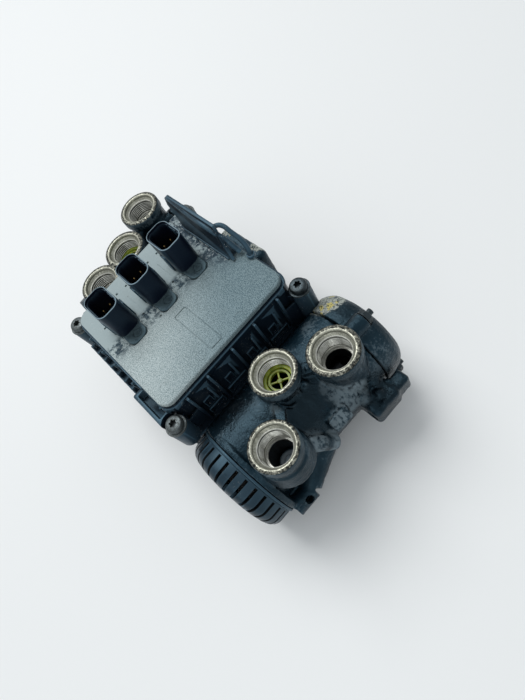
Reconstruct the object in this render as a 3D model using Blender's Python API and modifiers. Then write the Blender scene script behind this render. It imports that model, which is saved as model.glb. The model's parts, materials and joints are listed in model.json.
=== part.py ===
"""Two-channel electro-pneumatic modulator valve for a heavy vehicle's air brakes.

A cast body holds two relay valves, whose axes run along Y, and carries six upright air ports. A plastic
housing on top of it holds four solenoid valves, two pressure sensors and the circuit board, under a lid with
three sockets. +Z is up, through the lid. The origin is the centre of the flat mounting face under the body.

Lengths are given in millimetres, and MM turns them into Blender's metres.
"""

import bmesh
import bpy
from math import cos, pi, radians, sin
from mathutils import Matrix, Vector

MM = 0.001
GAP = 0.3  # between pieces that touch

# Levels along Z
DECK_TOP = 50.0
HOUSING_BOTTOM = 52.0
HOUSING_TOP = 94.0
LID_TOP = 98.0
PORT_RIM = 88.0

# Cast body
RELAY_Z = 39.0
RELAY_X = {"right": 94.0, "left": -90.0}
BARREL_AXES = {"right": (90.0, 42.0), "left": (-90.0, 39.0)}  # x and z; the right one has its galleries inboard
BARREL_RADII = {"right": 34.0, "left": 29.0}
BARREL_FRONT = -48.0
BARREL_BACK = 53.0
CHAMBER_RADIUS = 24.0
SUPPLY_RADIUS = 17.5
SEAT_RADIUS = 9.5
SEAT_BACK = 18.5
SEAT_FRONT = 15.5
DECK_HALF = (63.0, 61.0)
FLANGE_RADIUS = 38.0
TAB_PLACE = (129.2, 27.1)
TAB_RADIUS = 7.2

# End caps and their bolts, whose angles run from +X towards +Z round the barrel's axis
CAP_RADII = {"right": 35.0, "left": 29.0}
CAP_ANGLES = {"right": (69, 208, 318), "left": (85, 205, 325)}
CAP_BOLT_RADIUS = {"right": 34.8, "left": 31.0}
CAP_LUG_LENGTH = {"right": 12.0, "left": 6.0}
CAP_LUG_RADIUS = 6.5
BOLT_HOLE_RADIUS = 2.9
BOLT_ENDS = {"right": (50.4, 44.6, 44.6), "left": (44.6, 44.6, 44.6)}  # the first one stops short of port B

# Housing's corner bosses and screws; the last boss ends above the silencer
SCREW_PLACES = [(60.5, 56.7), (-60.5, 56.7), (-60.5, -56.7), (60.5, -56.7)]
BOSS_RADIUS = 7.0
SCREW_ENDS = (40.0, 40.0, 40.0, 68.0)
BOSS_BOTTOMS = (HOUSING_BOTTOM, HOUSING_BOTTOM, HOUSING_BOTTOM, 66.0)

# Ports: name, x, y, rim radius, depth of the bore's end along Z
RIGHT_PORTS = [("a", 87.0, 5.0, 16.0, 50.0), ("b", 107.5, 36.5, 16.8, 53.0), ("c", 118.5, -26.5, 16.0, 52.0)]
LEFT_PORTS = [("d", -102.0, 39.0, 16.6, 50.0), ("e", -82.0, 7.0, 16.6, 48.0), ("f", -74.5, -24.0, 16.6, 60.0)]
THREAD_RADIUS = 10.6
COUNTERBORE_RADIUS = 12.6
BORE_RADIUS = 8.5

# Housing and lid
HOUSING_HALF = (56.0, 55.0)
LID_HALF = (55.0, 54.0)
CORNER_RADIUS = 9.0
STEP_X = -2.0
STEP_DROP = 1.2

# Sockets
SOCKET_X = -19.5
SOCKET_PITCH = 29.1
SOCKET_MIDDLE_Y = -3.4
SOCKET_SIZE = (24.4, 17.8)
SOCKET_TOP = 124.0
SOCKET_FOOT_REACH = 22.7  # from the socket's middle to the end of its foot
SOCKET_FOOT_WIDTH = 15.0
SOCKET_PLACES = [SOCKET_MIDDLE_Y + SOCKET_PITCH * step for step in (1, 0, -1)]

# Relay valves
PISTON_RADIUS = CHAMBER_RADIUS - 0.4

# Solenoid valves
SOLENOID_PLACES = [(-27.0, -25.0), (27.0, -25.0), (-27.0, 25.0), (27.0, 25.0)]
SENSOR_PLACES = [(0.0, -25.0), (0.0, 25.0)]

# Silencer
SILENCER_RADIUS = 36.0
SILENCER_FRONT = -66.7
SLOT_COUNT = 30

# finish: colour, roughness, metallic
FINISHES = {
    "cast_black": ((0.022, 0.026, 0.028), 0.45, 0.3),
    "black_plastic": ((0.018, 0.021, 0.023), 0.5, 0.0),
    "lid_plastic": ((0.10, 0.115, 0.115), 0.55, 0.0),
    "socket_plastic": ((0.01, 0.01, 0.012), 0.45, 0.0),
    "steel": ((0.5, 0.5, 0.48), 0.35, 1.0),
    "dark_steel": ((0.08, 0.085, 0.09), 0.4, 0.8),
    "brass": ((0.72, 0.5, 0.22), 0.35, 1.0),
    "aluminium": ((0.66, 0.66, 0.64), 0.35, 1.0),
    "rubber": ((0.015, 0.015, 0.015), 0.8, 0.0),
    "strainer_plastic": ((0.55, 0.58, 0.16), 0.5, 0.0),
    "board": ((0.03, 0.18, 0.08), 0.5, 0.0),
    "copper_coil": ((0.09, 0.05, 0.03), 0.5, 0.0),
    "wire_packing": ((0.35, 0.35, 0.33), 0.6, 0.8),
}

UP = (0, 0, 1)
BACK = (0, 1, 0)


def clear_scene():
    for obj in list(bpy.data.objects):
        bpy.data.objects.remove(obj)


def new_collection(name):
    made = bpy.data.collections.new(name)
    bpy.context.scene.collection.children.link(made)
    return made


clear_scene()
PARTS = new_collection("modulator_valve")
CUTTERS = new_collection("cutters")


def link(name, data, finish):
    """Links an object as a part in its finish, or as a helper where finish is None."""
    obj = bpy.data.objects.new(name, data)
    if finish is None:
        CUTTERS.objects.link(obj)
        obj.hide_render = True
        obj.display_type = "WIRE"
        return obj
    PARTS.objects.link(obj)
    colour, roughness, metallic = FINISHES[finish]
    material = bpy.data.materials.new(name)
    material.use_nodes = True
    shader = material.node_tree.nodes["Principled BSDF"]
    shader.inputs["Base Color"].default_value = (*colour, 1.0)
    shader.inputs["Roughness"].default_value = roughness
    shader.inputs["Metallic"].default_value = metallic
    data.materials.append(material)
    return obj


def mesh_object(name, bm, finish, smooth=True):
    mesh = bpy.data.meshes.new(name)
    bm.to_mesh(mesh)
    bm.free()
    if smooth:
        mesh.shade_smooth()
        mesh.set_sharp_from_angle(angle=radians(35))
    return link(name, mesh, finish)


def place(obj, base, direction):
    """Puts the object's origin at base, with its own Z along direction."""
    obj.location = Vector(base) * MM
    obj.rotation_mode = "QUATERNION"
    obj.rotation_quaternion = Vector(UP).rotation_difference(Vector(direction))
    return obj


def rod(name, radius, start, end, finish=None, sides=24, end_radius=None):
    """A cylinder or cone between two points."""
    way = Vector(end) - Vector(start)
    bm = bmesh.new()
    bmesh.ops.create_cone(
        bm,
        cap_ends=True,
        segments=sides,
        radius1=radius * MM,
        radius2=(radius if end_radius is None else end_radius) * MM,
        depth=way.length * MM,
        matrix=Matrix.Translation((0, 0, way.length * MM / 2)),
    )
    return place(mesh_object(name, bm, finish), start, way)


def block(name, low, high, finish=None, corner=0.0, edge=0.0):
    """A box between two corners, with its upright edges rounded by corner and the rest by edge."""
    low, high = Vector(low), Vector(high)
    bm = bmesh.new()
    bmesh.ops.create_cube(bm, size=MM)
    bmesh.ops.scale(bm, vec=high - low, verts=bm.verts)
    if corner:
        upright = [e for e in bm.edges if abs(e.verts[0].co.z - e.verts[1].co.z) > MM / 10]
        bmesh.ops.bevel(bm, geom=upright, offset=corner * MM, segments=4, profile=0.5, affect="EDGES")
    obj = mesh_object(name, bm, finish, smooth=bool(corner or edge))
    obj.location = (low + high) / 2 * MM
    if edge:
        bevel = obj.modifiers.new("edge", "BEVEL")
        bevel.width = edge * MM
        bevel.segments = 2
    return obj


def web(name, start, end, thickness, bottom, top, finish=None):
    """An upright wall between two places on the ground plan."""
    along = Vector(end) - Vector(start)
    length = along.length
    obj = block(name, (0, -thickness / 2, bottom), (length, thickness / 2, top), finish)
    turn = Matrix.Rotation(Vector((1, 0)).angle_signed(along) * -1, 4, "Z")
    shift = Matrix.Translation(Vector((start[0], start[1], 0)) * MM)
    obj.matrix_world = shift @ turn @ Matrix.Translation(obj.location)
    return obj


def turned(name, profile, base, direction, finish=None, steps=32):
    """A turned shape. Its (radius, height) points run down the outer side, and may come back up the inner one."""
    mesh = bpy.data.meshes.new(name)
    points = [(radius * MM, 0, height * MM) for radius, height in profile]
    on_axis = profile[0][0] == 0 and profile[-1][0] == 0
    edges = [(i, i + 1) for i in range(len(points) - 1)]
    if not on_axis:
        edges.append((len(points) - 1, 0))
    mesh.from_pydata(points, edges, [])
    obj = place(link(name, mesh, finish), base, direction)
    screw = obj.modifiers.new("turn", "SCREW")
    screw.steps = steps
    screw.render_steps = steps
    screw.use_merge_vertices = True
    screw.merge_threshold = 1e-5
    return obj


def ring(name, outer, inner, low, high, base, direction, finish=None, steps=32):
    profile = [(outer, high), (outer, low), (inner, low), (inner, high)]
    return turned(name, profile, base, direction, finish, steps)


def curve_object(name, points, radius, finish, resolution=1, closed=False):
    """A round wire through the points."""
    curve = bpy.data.curves.new(name, "CURVE")
    curve.dimensions = "3D"
    curve.bevel_depth = radius * MM
    curve.bevel_resolution = resolution
    curve.use_fill_caps = True
    spline = curve.splines.new("POLY")
    spline.points.add(len(points) - 1)
    for point, place_ in zip(spline.points, points):
        point.co = (*(Vector(place_) * MM), 1)
    spline.use_cyclic_u = closed
    return link(name, curve, finish)


def solid_tube(name, points, radius, finish=None, resolution=2):
    """A tube as a closed mesh, which can join or cut."""
    source = curve_object(name + "_path", points, radius, None, resolution)
    graph = bpy.context.evaluated_depsgraph_get()
    mesh = bpy.data.meshes.new_from_object(source.evaluated_get(graph))
    bm = bmesh.new()
    bm.from_mesh(mesh)
    bmesh.ops.remove_doubles(bm, verts=bm.verts, dist=1e-6)
    bmesh.ops.recalc_face_normals(bm, faces=bm.faces)
    bpy.data.objects.remove(source)
    return mesh_object(name, bm, finish)


def coil(name, radius, wire, start, end, turns, finish, per_turn=9):
    """A compression spring between two points."""
    way = Vector(end) - Vector(start)
    count = round(turns * per_turn)
    points = []
    for i in range(count + 1):
        angle = 2 * pi * turns * i / count
        points.append((radius * cos(angle), radius * sin(angle), way.length * i / count))
    return place(curve_object(name, points, wire, finish), start, way)


def combine(target, operation, others):
    for other in others:
        step = target.modifiers.new(other.name, "BOOLEAN")
        step.operation = operation
        step.solver = "EXACT"
        step.object = other
    return target


def join(target, *others):
    return combine(target, "UNION", others)


def cut(target, *others):
    return combine(target, "DIFFERENCE", others)


def bolt_place(side, angle, y):
    """A point on the circle of an end cap's bolts."""
    x, z = BARREL_AXES[side]
    reach = CAP_BOLT_RADIUS[side]
    return (x + reach * cos(radians(angle)), y, z + reach * sin(radians(angle)))


# --- cast body -----------------------------------------------------------------------------------------------

def port_barrel(port):
    """A port's outside: a rim band, a slightly slimmer neck, and a tapered foot."""
    letter, x, y, radius, _ = port
    neck = radius - 1.0
    taper, foot = (44, 34) if letter == "b" else (58, 41.5)
    profile = [
        (0, PORT_RIM),
        (radius, PORT_RIM),
        (radius, PORT_RIM - 7.0),
        (neck, PORT_RIM - 8.0),
        (neck, taper),
        (neck - 6, foot),
        (0, foot),
    ]
    return turned("port_barrel_" + letter, profile, (x, y, 0), UP, steps=18)


def port_bore(port):
    letter, x, y, _, end = port
    profile = [
        (0, PORT_RIM + 2),
        (COUNTERBORE_RADIUS, PORT_RIM + 2),
        (COUNTERBORE_RADIUS, PORT_RIM - 2.2),
        (THREAD_RADIUS, PORT_RIM - 3.6),
        (THREAD_RADIUS, PORT_RIM - 16),
        (BORE_RADIUS, PORT_RIM - 16),
        (BORE_RADIUS, end),
        (0, end),
    ]
    return turned("port_bore_" + letter, profile, (x, y, 0), UP, steps=14)


def relay_bore(side):
    """Piston chamber, valve seat and supply chamber of one relay valve."""
    profile = [
        (0, BARREL_BACK + 4),
        (CHAMBER_RADIUS, BARREL_BACK + 4),
        (CHAMBER_RADIUS, SEAT_BACK),
        (SEAT_RADIUS, SEAT_BACK),
        (SEAT_RADIUS, SEAT_FRONT),
        (SUPPLY_RADIUS, SEAT_FRONT),
        (SUPPLY_RADIUS, BARREL_FRONT - 4),
        (0, BARREL_FRONT - 4),
    ]
    return turned("relay_bore_" + side, profile, (RELAY_X[side], 0, RELAY_Z), BACK, steps=20)


def cap_lugs(side, front, back, radius, kind):
    """Rods of one length on all bolt places of an end cap."""
    return [
        rod(f"{kind}_{side}_{angle}", radius, bolt_place(side, angle, front), bolt_place(side, angle, back), sides=12)
        for angle in CAP_ANGLES[side]
    ]


def bolt_holes(side):
    return [
        rod(
            f"bolt_hole_{side}_{angle}",
            BOLT_HOLE_RADIUS,
            bolt_place(side, angle, end - 0.8),
            bolt_place(side, angle, BARREL_BACK + 2),
            sides=12,
        )
        for angle, end in zip(CAP_ANGLES[side], BOLT_ENDS[side])
    ]


def barrel(side, sides):
    x, z = BARREL_AXES[side]
    return rod("barrel_" + side, BARREL_RADII[side], (x, BARREL_FRONT, z), (x, BARREL_BACK, z), sides=sides)


def body_additions():
    """Everything that is cast in one with the deck."""
    right, left = RELAY_X["right"], RELAY_X["left"]
    tab_x, tab_z = TAB_PLACE
    pads = [
        rod(f"screw_pad_{i}", BOSS_RADIUS + 0.3, (x, y, 35), (x, y, DECK_TOP + 0.2), sides=16)
        for i, (x, y) in enumerate(SCREW_PLACES[:3])
    ]
    parts = [
        barrel("right", 32),
        barrel("left", 24),
        block("core", (left, -44, 8.4), (right, 50, 46.5), edge=2),
        block("foot", (-40, -36, 0), (48, 38, 12), corner=8),
        rod("front_flange", FLANGE_RADIUS, (right, BARREL_FRONT - 0.2, RELAY_Z), (right, -43.5, RELAY_Z), sides=32),
        rod("tab", TAB_RADIUS, (tab_x, BARREL_FRONT + 0.5, tab_z), (tab_x, -30.5, tab_z), sides=14),
        rod("flare", 13, (114, -4, 34), (128, -31, 27.5), sides=16, end_radius=7.8),
        rod("collar_c", 18.5, (118.5, -26.5, 62), (118.5, -26.5, 75), sides=22, end_radius=16.5),
        solid_tube("side_rib", [(118, -19, 66), (123.5, -11, 60), (125.5, -5, 52), (126, 0, 42)], 6.0, resolution=1),
        rod("side_boss", 10, (110, 12, 47.5), (127.4, 12, 56.7), sides=16),
        web("web_ab", (88, 7), (106, 34), 8.3, 45, 79.1),
        web("web_ac", (89, 2), (115, -22), 7.3, 45, 76.4),
        web("web_de", (-100, 36.5), (-84, 10), 8.2, 45, 78.7),
        web("web_ef", (-81.5, 4), (-75.5, -20), 8.2, 45, 79.5),
        block("back_lug", (-36, 59, 34), (10, 71, 73), edge=4),
        block("back_arm", (-33, 45, 37.6), (7, 63, 49.4), edge=1),
        block("side_lug", (112, 27, 29), (139, 50, 46), edge=3),
        block("side_lug_end", (126.4, 40, 30.3), (137.4, 60.5, 44.6), edge=2.5),
    ]
    ports = [port_barrel(port) for port in RIGHT_PORTS + LEFT_PORTS]
    lugs = [lug for side in RELAY_X for lug in cap_lugs(side, 39, BARREL_BACK - 0.2, CAP_LUG_RADIUS, "body_lug")]
    return pads + parts + ports + lugs


def body_channels():
    """Drilled passages and fixing holes."""
    right, left = RELAY_X["right"], RELAY_X["left"]
    tab_x, tab_z = TAB_PLACE
    screw_holes = [
        rod(f"screw_hole_{i}", 2.9, (x, y, 38), (x, y, 60), sides=12)
        for i, (x, y) in enumerate(SCREW_PLACES[:3])
    ]
    foot_holes = [
        rod(f"foot_hole_{x}_{y}", 3.4, (x, y, -2), (x, y, 14), sides=12)
        for x in (-30, 38)
        for y in (-27, 29)
    ]
    return [
        rod("output_channel", 3.5, (112.5, -26.5, 53), (112.5, 24, 53), sides=12),
        rod("exhaust_channel", 6, (left, -35, 37), (right, -35, 37), sides=16),
        rod("tab_hole", 3.4, (tab_x, -60, tab_z), (tab_x, -20, tab_z), sides=16),
        rod("side_lug_hole", 4.2, (132.5, 15, 37.5), (132.5, 70, 37.5), sides=14),
        rod("back_lug_hole", 5, (-12, 40, 63), (-12, 80, 63), sides=16),
        *screw_holes,
        *foot_holes,
    ]


def make_valve_body():
    half_x, half_y = DECK_HALF
    body = block("valve_body", (-half_x, -half_y, 40), (half_x + 3, half_y, DECK_TOP), "cast_black", corner=5)
    join(body, *body_additions())
    right = RELAY_X["right"]
    room = rod("silencer_room", FLANGE_RADIUS + 0.4, (right, -90, RELAY_Z), (right, BARREL_FRONT - 0.3, RELAY_Z))
    cut(body, room, housing_room("body_clearance"))
    cut(body, *boss_notches("body_notch", BOSS_RADIUS + 0.5, DECK_TOP + 0.45))
    cut(body, *[port_bore(port) for port in RIGHT_PORTS + LEFT_PORTS])
    for side in RELAY_X:
        cut(body, relay_bore(side), *bolt_holes(side))
    return cut(body, *body_channels())


def housing_room(name):
    """The corner over the deck that the housing's flange and ribs stand in."""
    return block(name, (40, -75, DECK_TOP + 0.3), (61.7, 58.6, 100))


def boss_notches(kind, radius, bottom):
    """Room beside the relay barrels for the housing's corner bosses."""
    return [
        rod(f"{kind}_{i}", radius, (x, y, bottom), (x, y, 100), sides=16)
        for i, (x, y) in enumerate(SCREW_PLACES)
    ]


def cap_profile(side):
    """A dome's outside and its hollow; the right one is deeper."""
    outer = CAP_RADII[side]
    hollow = [(20, 0), (16, 10), (0, 12)]
    if side == "left":
        return [(0, 17.0), (outer - 14, 16.0), (outer - 4, 12.0), (outer, 6.0), (outer, 0), *hollow]
    dome = [(0, 21.0), (24.0, 20.8), (29.6, 18.9), (31.9, 16.5), (33.6, 13.3), (outer, 5.6), (outer, 0)]
    return dome + hollow


def make_end_caps():
    back = BARREL_BACK + GAP
    for side in RELAY_X:
        x, z = BARREL_AXES[side]
        cap = turned("relay_cap_" + side, cap_profile(side), (x, back, z), BACK, "cast_black", steps=24)
        seat = back + CAP_LUG_LENGTH[side]
        join(cap, *cap_lugs(side, back + 0.1, seat, CAP_LUG_RADIUS, "cap_lug"))
        cut(cap, *cap_lugs(side, seat + 0.1, seat + 14, CAP_LUG_RADIUS - 0.4, "cap_spotface"))
        cut(cap, *cap_lugs(side, back - 4, seat + 14, BOLT_HOLE_RADIUS, "cap_hole"))
        cut(cap, *boss_notches("cap_notch_" + side, BOSS_RADIUS + 1.1, 33.5)[:2], housing_room("cap_clearance_" + side))
        if side == "left":
            _, port_x, port_y, port_radius, _ = LEFT_PORTS[0]
            cut(cap, rod("cap_port_room", port_radius - 0.3, (port_x, port_y, 45), (port_x, port_y, 100)))
        for number, (angle, end) in enumerate(zip(CAP_ANGLES[side], BOLT_ENDS[side]), 1):
            make_cap_bolt(f"cap_bolt_{side}_{number}", bolt_place(side, angle, seat + GAP), end, side == "right")


def make_cap_bolt(name, head_start, end, stud):
    """A hexagon bolt along Y, whose shank reaches into the body, with or without a stud behind its head."""
    x, y, z = head_start
    bolt = rod(name, 5.2, head_start, (x, y + 4, z), "dark_steel", sides=6)
    join(bolt, rod(name + "_shank", 2.5, (x, y + 1, z), (x, end, z), sides=12))
    if stud:
        join(bolt, rod(name + "_stud", 2.3, (x, y + 3, z), (x, y + 7, z), sides=12))
    return bolt


# --- silencer ------------------------------------------------------------------------------------------------


def make_silencer():
    front = BARREL_FRONT - 0.2
    axis = (RELAY_X["right"], 0, RELAY_Z)
    ring("silencer_flange", FLANGE_RADIUS - 1, 21.0, front - 2.0, front - GAP, axis, BACK, "cast_black", steps=28)
    back = front - 2.0 - GAP
    profile = [
        (SILENCER_RADIUS, back),
        (SILENCER_RADIUS, SILENCER_FRONT + 7.5),
        (SILENCER_RADIUS - 1.6, SILENCER_FRONT + 3.7),
        (SILENCER_RADIUS - 4.4, SILENCER_FRONT + 1.5),
        (SILENCER_RADIUS - 12, SILENCER_FRONT),
        (9, SILENCER_FRONT),
        (9, SILENCER_FRONT + 2.6),
        (SILENCER_RADIUS - 9, SILENCER_FRONT + 3.0),
        (SILENCER_RADIUS - 3, SILENCER_FRONT + 7.5),
        (SILENCER_RADIUS - 3, back),
    ]
    drum = turned("silencer_drum", profile, axis, BACK, "black_plastic", steps=30)
    cut(drum, silencer_slots(back))
    ring("silencer_packing", 32.5, 22.0, SILENCER_FRONT + 8, back - 1.0, axis, BACK, "wire_packing", steps=32)
    turned(
        "silencer_screw",
        [(0, 4.0), (3.0, 4.0), (3.0, 0.0), (8.4, 0.0), (8.4, -2.4), (7.0, -3.2), (0, -3.2)],
        (RELAY_X["right"], SILENCER_FRONT + 3.0, RELAY_Z),
        BACK,
        "dark_steel",
        steps=24,
    )


def silencer_slots(back):
    """Thin radial boxes around the drum, in one cutter."""
    bm = bmesh.new()
    start, end = SILENCER_FRONT + 1.2, back - 1.5
    for index in range(SLOT_COUNT):
        turn = Matrix.Rotation(2 * pi * index / SLOT_COUNT, 4, "Y")
        shift = Matrix.Translation(Vector((SILENCER_RADIUS - 0.5, (start + end) / 2, 0)) * MM)
        size = Matrix.Diagonal((*(Vector((9, end - start, 1.7)) * MM), 1))
        bmesh.ops.create_cube(bm, size=1.0, matrix=turn @ shift @ size)
    slots = mesh_object("silencer_slots", bm, None, smooth=False)
    slots.location = Vector((RELAY_X["right"], 0, RELAY_Z)) * MM
    return slots


def make_exhaust_plug():
    """Closes the front end of the left barrel, whose exhaust crosses to the silencer."""
    profile = [
        (0, 8.0),
        (SUPPLY_RADIUS - GAP, 8.0),
        (SUPPLY_RADIUS - GAP, -GAP),
        (21.0, -GAP),
        (21.0, -4.0),
        (20.0, -5.0),
        (0, -5.0),
    ]
    turned("exhaust_plug", profile, (RELAY_X["left"], BARREL_FRONT, RELAY_Z), BACK, "cast_black", steps=24)


# --- electronics housing -------------------------------------------------------------------------------------

RIGHT_RIB_PLACES = (-40, -22, 0, 20, 41)
FRONT_RIB_PLACES = (-37, -20, -4, 18, 38)


def make_housing():
    half_x, half_y = HOUSING_HALF
    housing = block(
        "electronics_housing",
        (-half_x, -half_y, HOUSING_BOTTOM),
        (half_x, half_y, HOUSING_TOP),
        "black_plastic",
        corner=CORNER_RADIUS,
    )
    flange = block("housing_flange", (-57, -58, HOUSING_BOTTOM), (61.2, 58, HOUSING_BOTTOM + 5), corner=4)
    bosses = [
        rod(f"boss_{i}", BOSS_RADIUS, (x, y, BOSS_BOTTOMS[i]), (x, y, HOUSING_TOP - 9), sides=20)
        for i, (x, y) in enumerate(SCREW_PLACES)
    ]
    gussets = [
        web(f"gusset_{i}", (x, y), (x * 0.8, y * 0.8), 5, HOUSING_BOTTOM, HOUSING_TOP - 12)
        for i, (x, y) in enumerate(SCREW_PLACES)
    ]
    right_ribs = [
        block(f"right_rib_{y}", (half_x - 2, y - 0.9, HOUSING_BOTTOM + 2), (half_x + 3.6, y + 0.9, HOUSING_TOP - 1))
        for y in RIGHT_RIB_PLACES
    ]
    front_ribs = [
        block(f"front_rib_{x}", (x - 0.9, -half_y - 3, HOUSING_BOTTOM + 2), (x + 0.9, -half_y + 2, HOUSING_TOP - 1))
        for x in FRONT_RIB_PLACES
    ]
    shelf = block("front_shelf", (-50, -63.2, 72.5), (50, -half_y + 2, 75.5))
    loop = block("strap_loop", (24, -63.2, 84), (58, -half_y + 2, 91))
    right = RELAY_X["right"]
    join(housing, flange, *bosses, *gussets, *right_ribs, *front_ribs, shelf, loop)
    cut(
        housing,
        block("upper_room", (-53.5, -52.5, 83.7), (53.5, 52.5, 100), corner=7),
        block("lower_room", (-50.5, -49.5, 40), (50.5, 49.5, 90), corner=5),
        block("strap_room", (27, -60.9, 80), (52, -54.9, 95)),
        rod("housing_clearance", FLANGE_RADIUS - 0.4, (right, -90, RELAY_Z), (right, -48.1, RELAY_Z), sides=32),
        *[
            rod(f"boss_hole_{i}", 3.1, (x, y, SCREW_ENDS[i] - 1), (x, y, 100), sides=12)
            for i, (x, y) in enumerate(SCREW_PLACES)
        ],
        *boss_notches("head_room", BOSS_RADIUS + 0.8, HOUSING_TOP - 9.1),
    )
    return housing


def make_seal():
    seal = block("housing_seal", (-59, -57, DECK_TOP + GAP), (59, 57, HOUSING_BOTTOM - GAP), "rubber", corner=6)
    cut(
        seal,
        block("seal_room", (-51.5, -50.5, 40), (51.5, 50.5, 60), corner=5),
        *[
            rod(f"seal_notch_{i}", 4, (x, y, 40), (x, y, 60), sides=12)
            for i, (x, y) in enumerate(SCREW_PLACES)
        ],
    )


def make_lid():
    """A plate with a lower step under the sockets and an engraved frame."""
    half_x, half_y = LID_HALF
    bottom = HOUSING_TOP + GAP
    lid = block("housing_lid", (-half_x, -half_y, bottom), (half_x, half_y, LID_TOP), "lid_plastic", corner=8)
    step = block("lid_step", (-70, -70, LID_TOP - STEP_DROP), (STEP_X, 42.5, LID_TOP + 5))
    frame = block("mark_frame", (11.5, -8.6, LID_TOP - 0.5), (51, 1.8, LID_TOP + 2), corner=1.6)
    cut(frame, block("mark_frame_inside", (12.3, -7.8, LID_TOP - 2), (50.2, 1.0, LID_TOP + 4), corner=1.2))
    feet = [socket_foot(f"foot_room_{y}", y, LID_TOP - STEP_DROP, LID_TOP + 5, GAP) for y in SOCKET_PLACES]
    cut(lid, step, frame, *feet)


def socket_foot(name, y, bottom, top, margin=0.0):
    """The flat tongue beside a socket, or with a margin the room that it needs in the lid."""
    half = SOCKET_FOOT_WIDTH / 2 + margin
    end = SOCKET_X + SOCKET_FOOT_REACH + margin
    return block(name, (SOCKET_X + 6, y - half, bottom), (end, y + half, top), corner=3.6)


def make_lid_screws():
    for number, (x, y) in enumerate(SCREW_PLACES, 1):
        seat = HOUSING_TOP - 9 + GAP
        head = [
            (0, seat + 5.2),
            (5.0, seat + 5.2),
            (6.0, seat + 4.0),
            (6.0, seat + 1.4),
            (7.2, seat + 1.4),
            (7.2, seat),
            (2.5, seat),
            (2.5, SCREW_ENDS[number - 1]),
            (0, SCREW_ENDS[number - 1]),
        ]
        screw = turned(f"lid_screw_{number}", head, (x, y, 0), UP, "dark_steel", steps=16)
        cut(screw, rod(f"screw_drive_{number}", 2.6, (x, y, seat + 2.2), (x, y, seat + 9), sides=6))


def make_sockets():
    size_x, size_y = SOCKET_SIZE
    floor = LID_TOP - STEP_DROP + GAP
    wall = 1.5
    for number, y in enumerate(SOCKET_PLACES, 1):
        low = (SOCKET_X - size_x / 2, y - size_y / 2, floor)
        high = (SOCKET_X + size_x / 2, y + size_y / 2, SOCKET_TOP)
        socket = block(f"socket_{number}", low, high, "socket_plastic", corner=6)
        foot = socket_foot(f"socket_foot_{number}", y, floor, LID_TOP + 0.8)
        keys = [y + side * size_y / 2 for side in (-1, 1)]
        blocks = [
            block(f"socket_key_{number}_{key}", (SOCKET_X - 3, key - 1, floor), (SOCKET_X + 3, key + 1, floor + 15))
            for key in keys
        ]
        join(socket, foot, *blocks)
        room_low = (low[0] + wall, low[1] + wall, floor + 4)
        room_high = (high[0] - wall, high[1] - wall, SOCKET_TOP + 5)
        cut(socket, block(f"socket_room_{number}", room_low, room_high, corner=4.6))
        make_contacts(number, y, floor + 4 + GAP)


def make_contacts(number, y, bottom):
    """Six blades standing on one carrier, at the bottom of a socket."""
    carrier = block(
        f"contacts_{number}", (SOCKET_X - 8, y - 4.5, bottom), (SOCKET_X + 8, y + 4.5, bottom + 2), "brass"
    )
    for blade_x in (SOCKET_X - 5, SOCKET_X, SOCKET_X + 5):
        for blade_y in (y - 3, y + 3):
            low, high = (blade_x - 0.7, blade_y - 0.4, bottom + 1), (blade_x + 0.7, blade_y + 0.4, bottom + 11)
            join(carrier, block(f"blade_{number}_{blade_x}_{blade_y}", low, high))


def make_cable_guard():
    """A leaning fin beside the sockets with a thick upper edge, which ends in a loop."""
    bottom = LID_TOP + GAP
    outline = [(-53, 12), (-55, 17.5), (-52, 19.5), (1, 19.5), (18, 0.7), (-37.3, 0.7)]
    bm = bmesh.new()
    foot_y, lean = 43.5, 0.34
    corners = [Vector((x, foot_y + lean * up, bottom + up)) * MM for x, up in outline]
    face = bm.faces.new([bm.verts.new(corner) for corner in corners])
    grown = bmesh.ops.extrude_face_region(bm, geom=[face])
    moved = [item for item in grown["geom"] if isinstance(item, bmesh.types.BMVert)]
    bmesh.ops.translate(bm, vec=(0, 2.4 * MM, 0), verts=moved)
    bmesh.ops.recalc_face_normals(bm, faces=bm.faces)
    guard = mesh_object("cable_guard", bm, "black_plastic", smooth=False)
    ledge_y = foot_y + lean * 17.5 + 1.4
    bar = [(-52, ledge_y, bottom + 17.3), (1, ledge_y, bottom + 17.0), (17, 51.6, bottom + 1.5)]
    far_bar = [(-2, ledge_y, bottom + 16.6), (3, 54.6, bottom + 17), (18, 56, bottom + 10), (24, 54, bottom + 1.3)]
    ledge = solid_tube("guard_ledge", bar, 1.9)
    loop = solid_tube("guard_loop", far_bar, 1.7)
    base = block("guard_base", (-38, 42.6, bottom), (27, 53.5, bottom + 2))
    join(guard, base, ledge, loop)
    return guard


def make_board():
    return block("circuit_board", (-53, -52, 84), (53, 52, 85.6), "board", corner=6)


# --- solenoid valves and sensors -----------------------------------------------------------------------------


def make_solenoids():
    floor = DECK_TOP + GAP
    for number, (x, y) in enumerate(SOLENOID_PLACES, 1):
        at = (x, y, 0)
        tube = [
            (0, 79.0),
            (5.8, 79.0),
            (5.8, 53.0),
            (9.0, 53.0),
            (9.0, floor),
            (4.7, floor),
            (4.7, 70.0),
            (0, 70.0),
        ]
        turned(f"core_tube_{number}", tube, at, UP, "steel", steps=16)
        ring(f"solenoid_coil_{number}", 13.5, 6.2, 53.5, 78.0, at, UP, "copper_coil", steps=20)
        plunger = [(0, 64.0), (4.3, 64.0), (4.3, 52.4), (2.0, 51.0), (0, 51.0)]
        turned(f"armature_{number}", plunger, at, UP, "steel", steps=16)
        coil(f"armature_spring_{number}", 3.1, 0.4, (x, y, 64.8), (x, y, 69.2), 3, "steel", per_turn=8)


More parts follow.
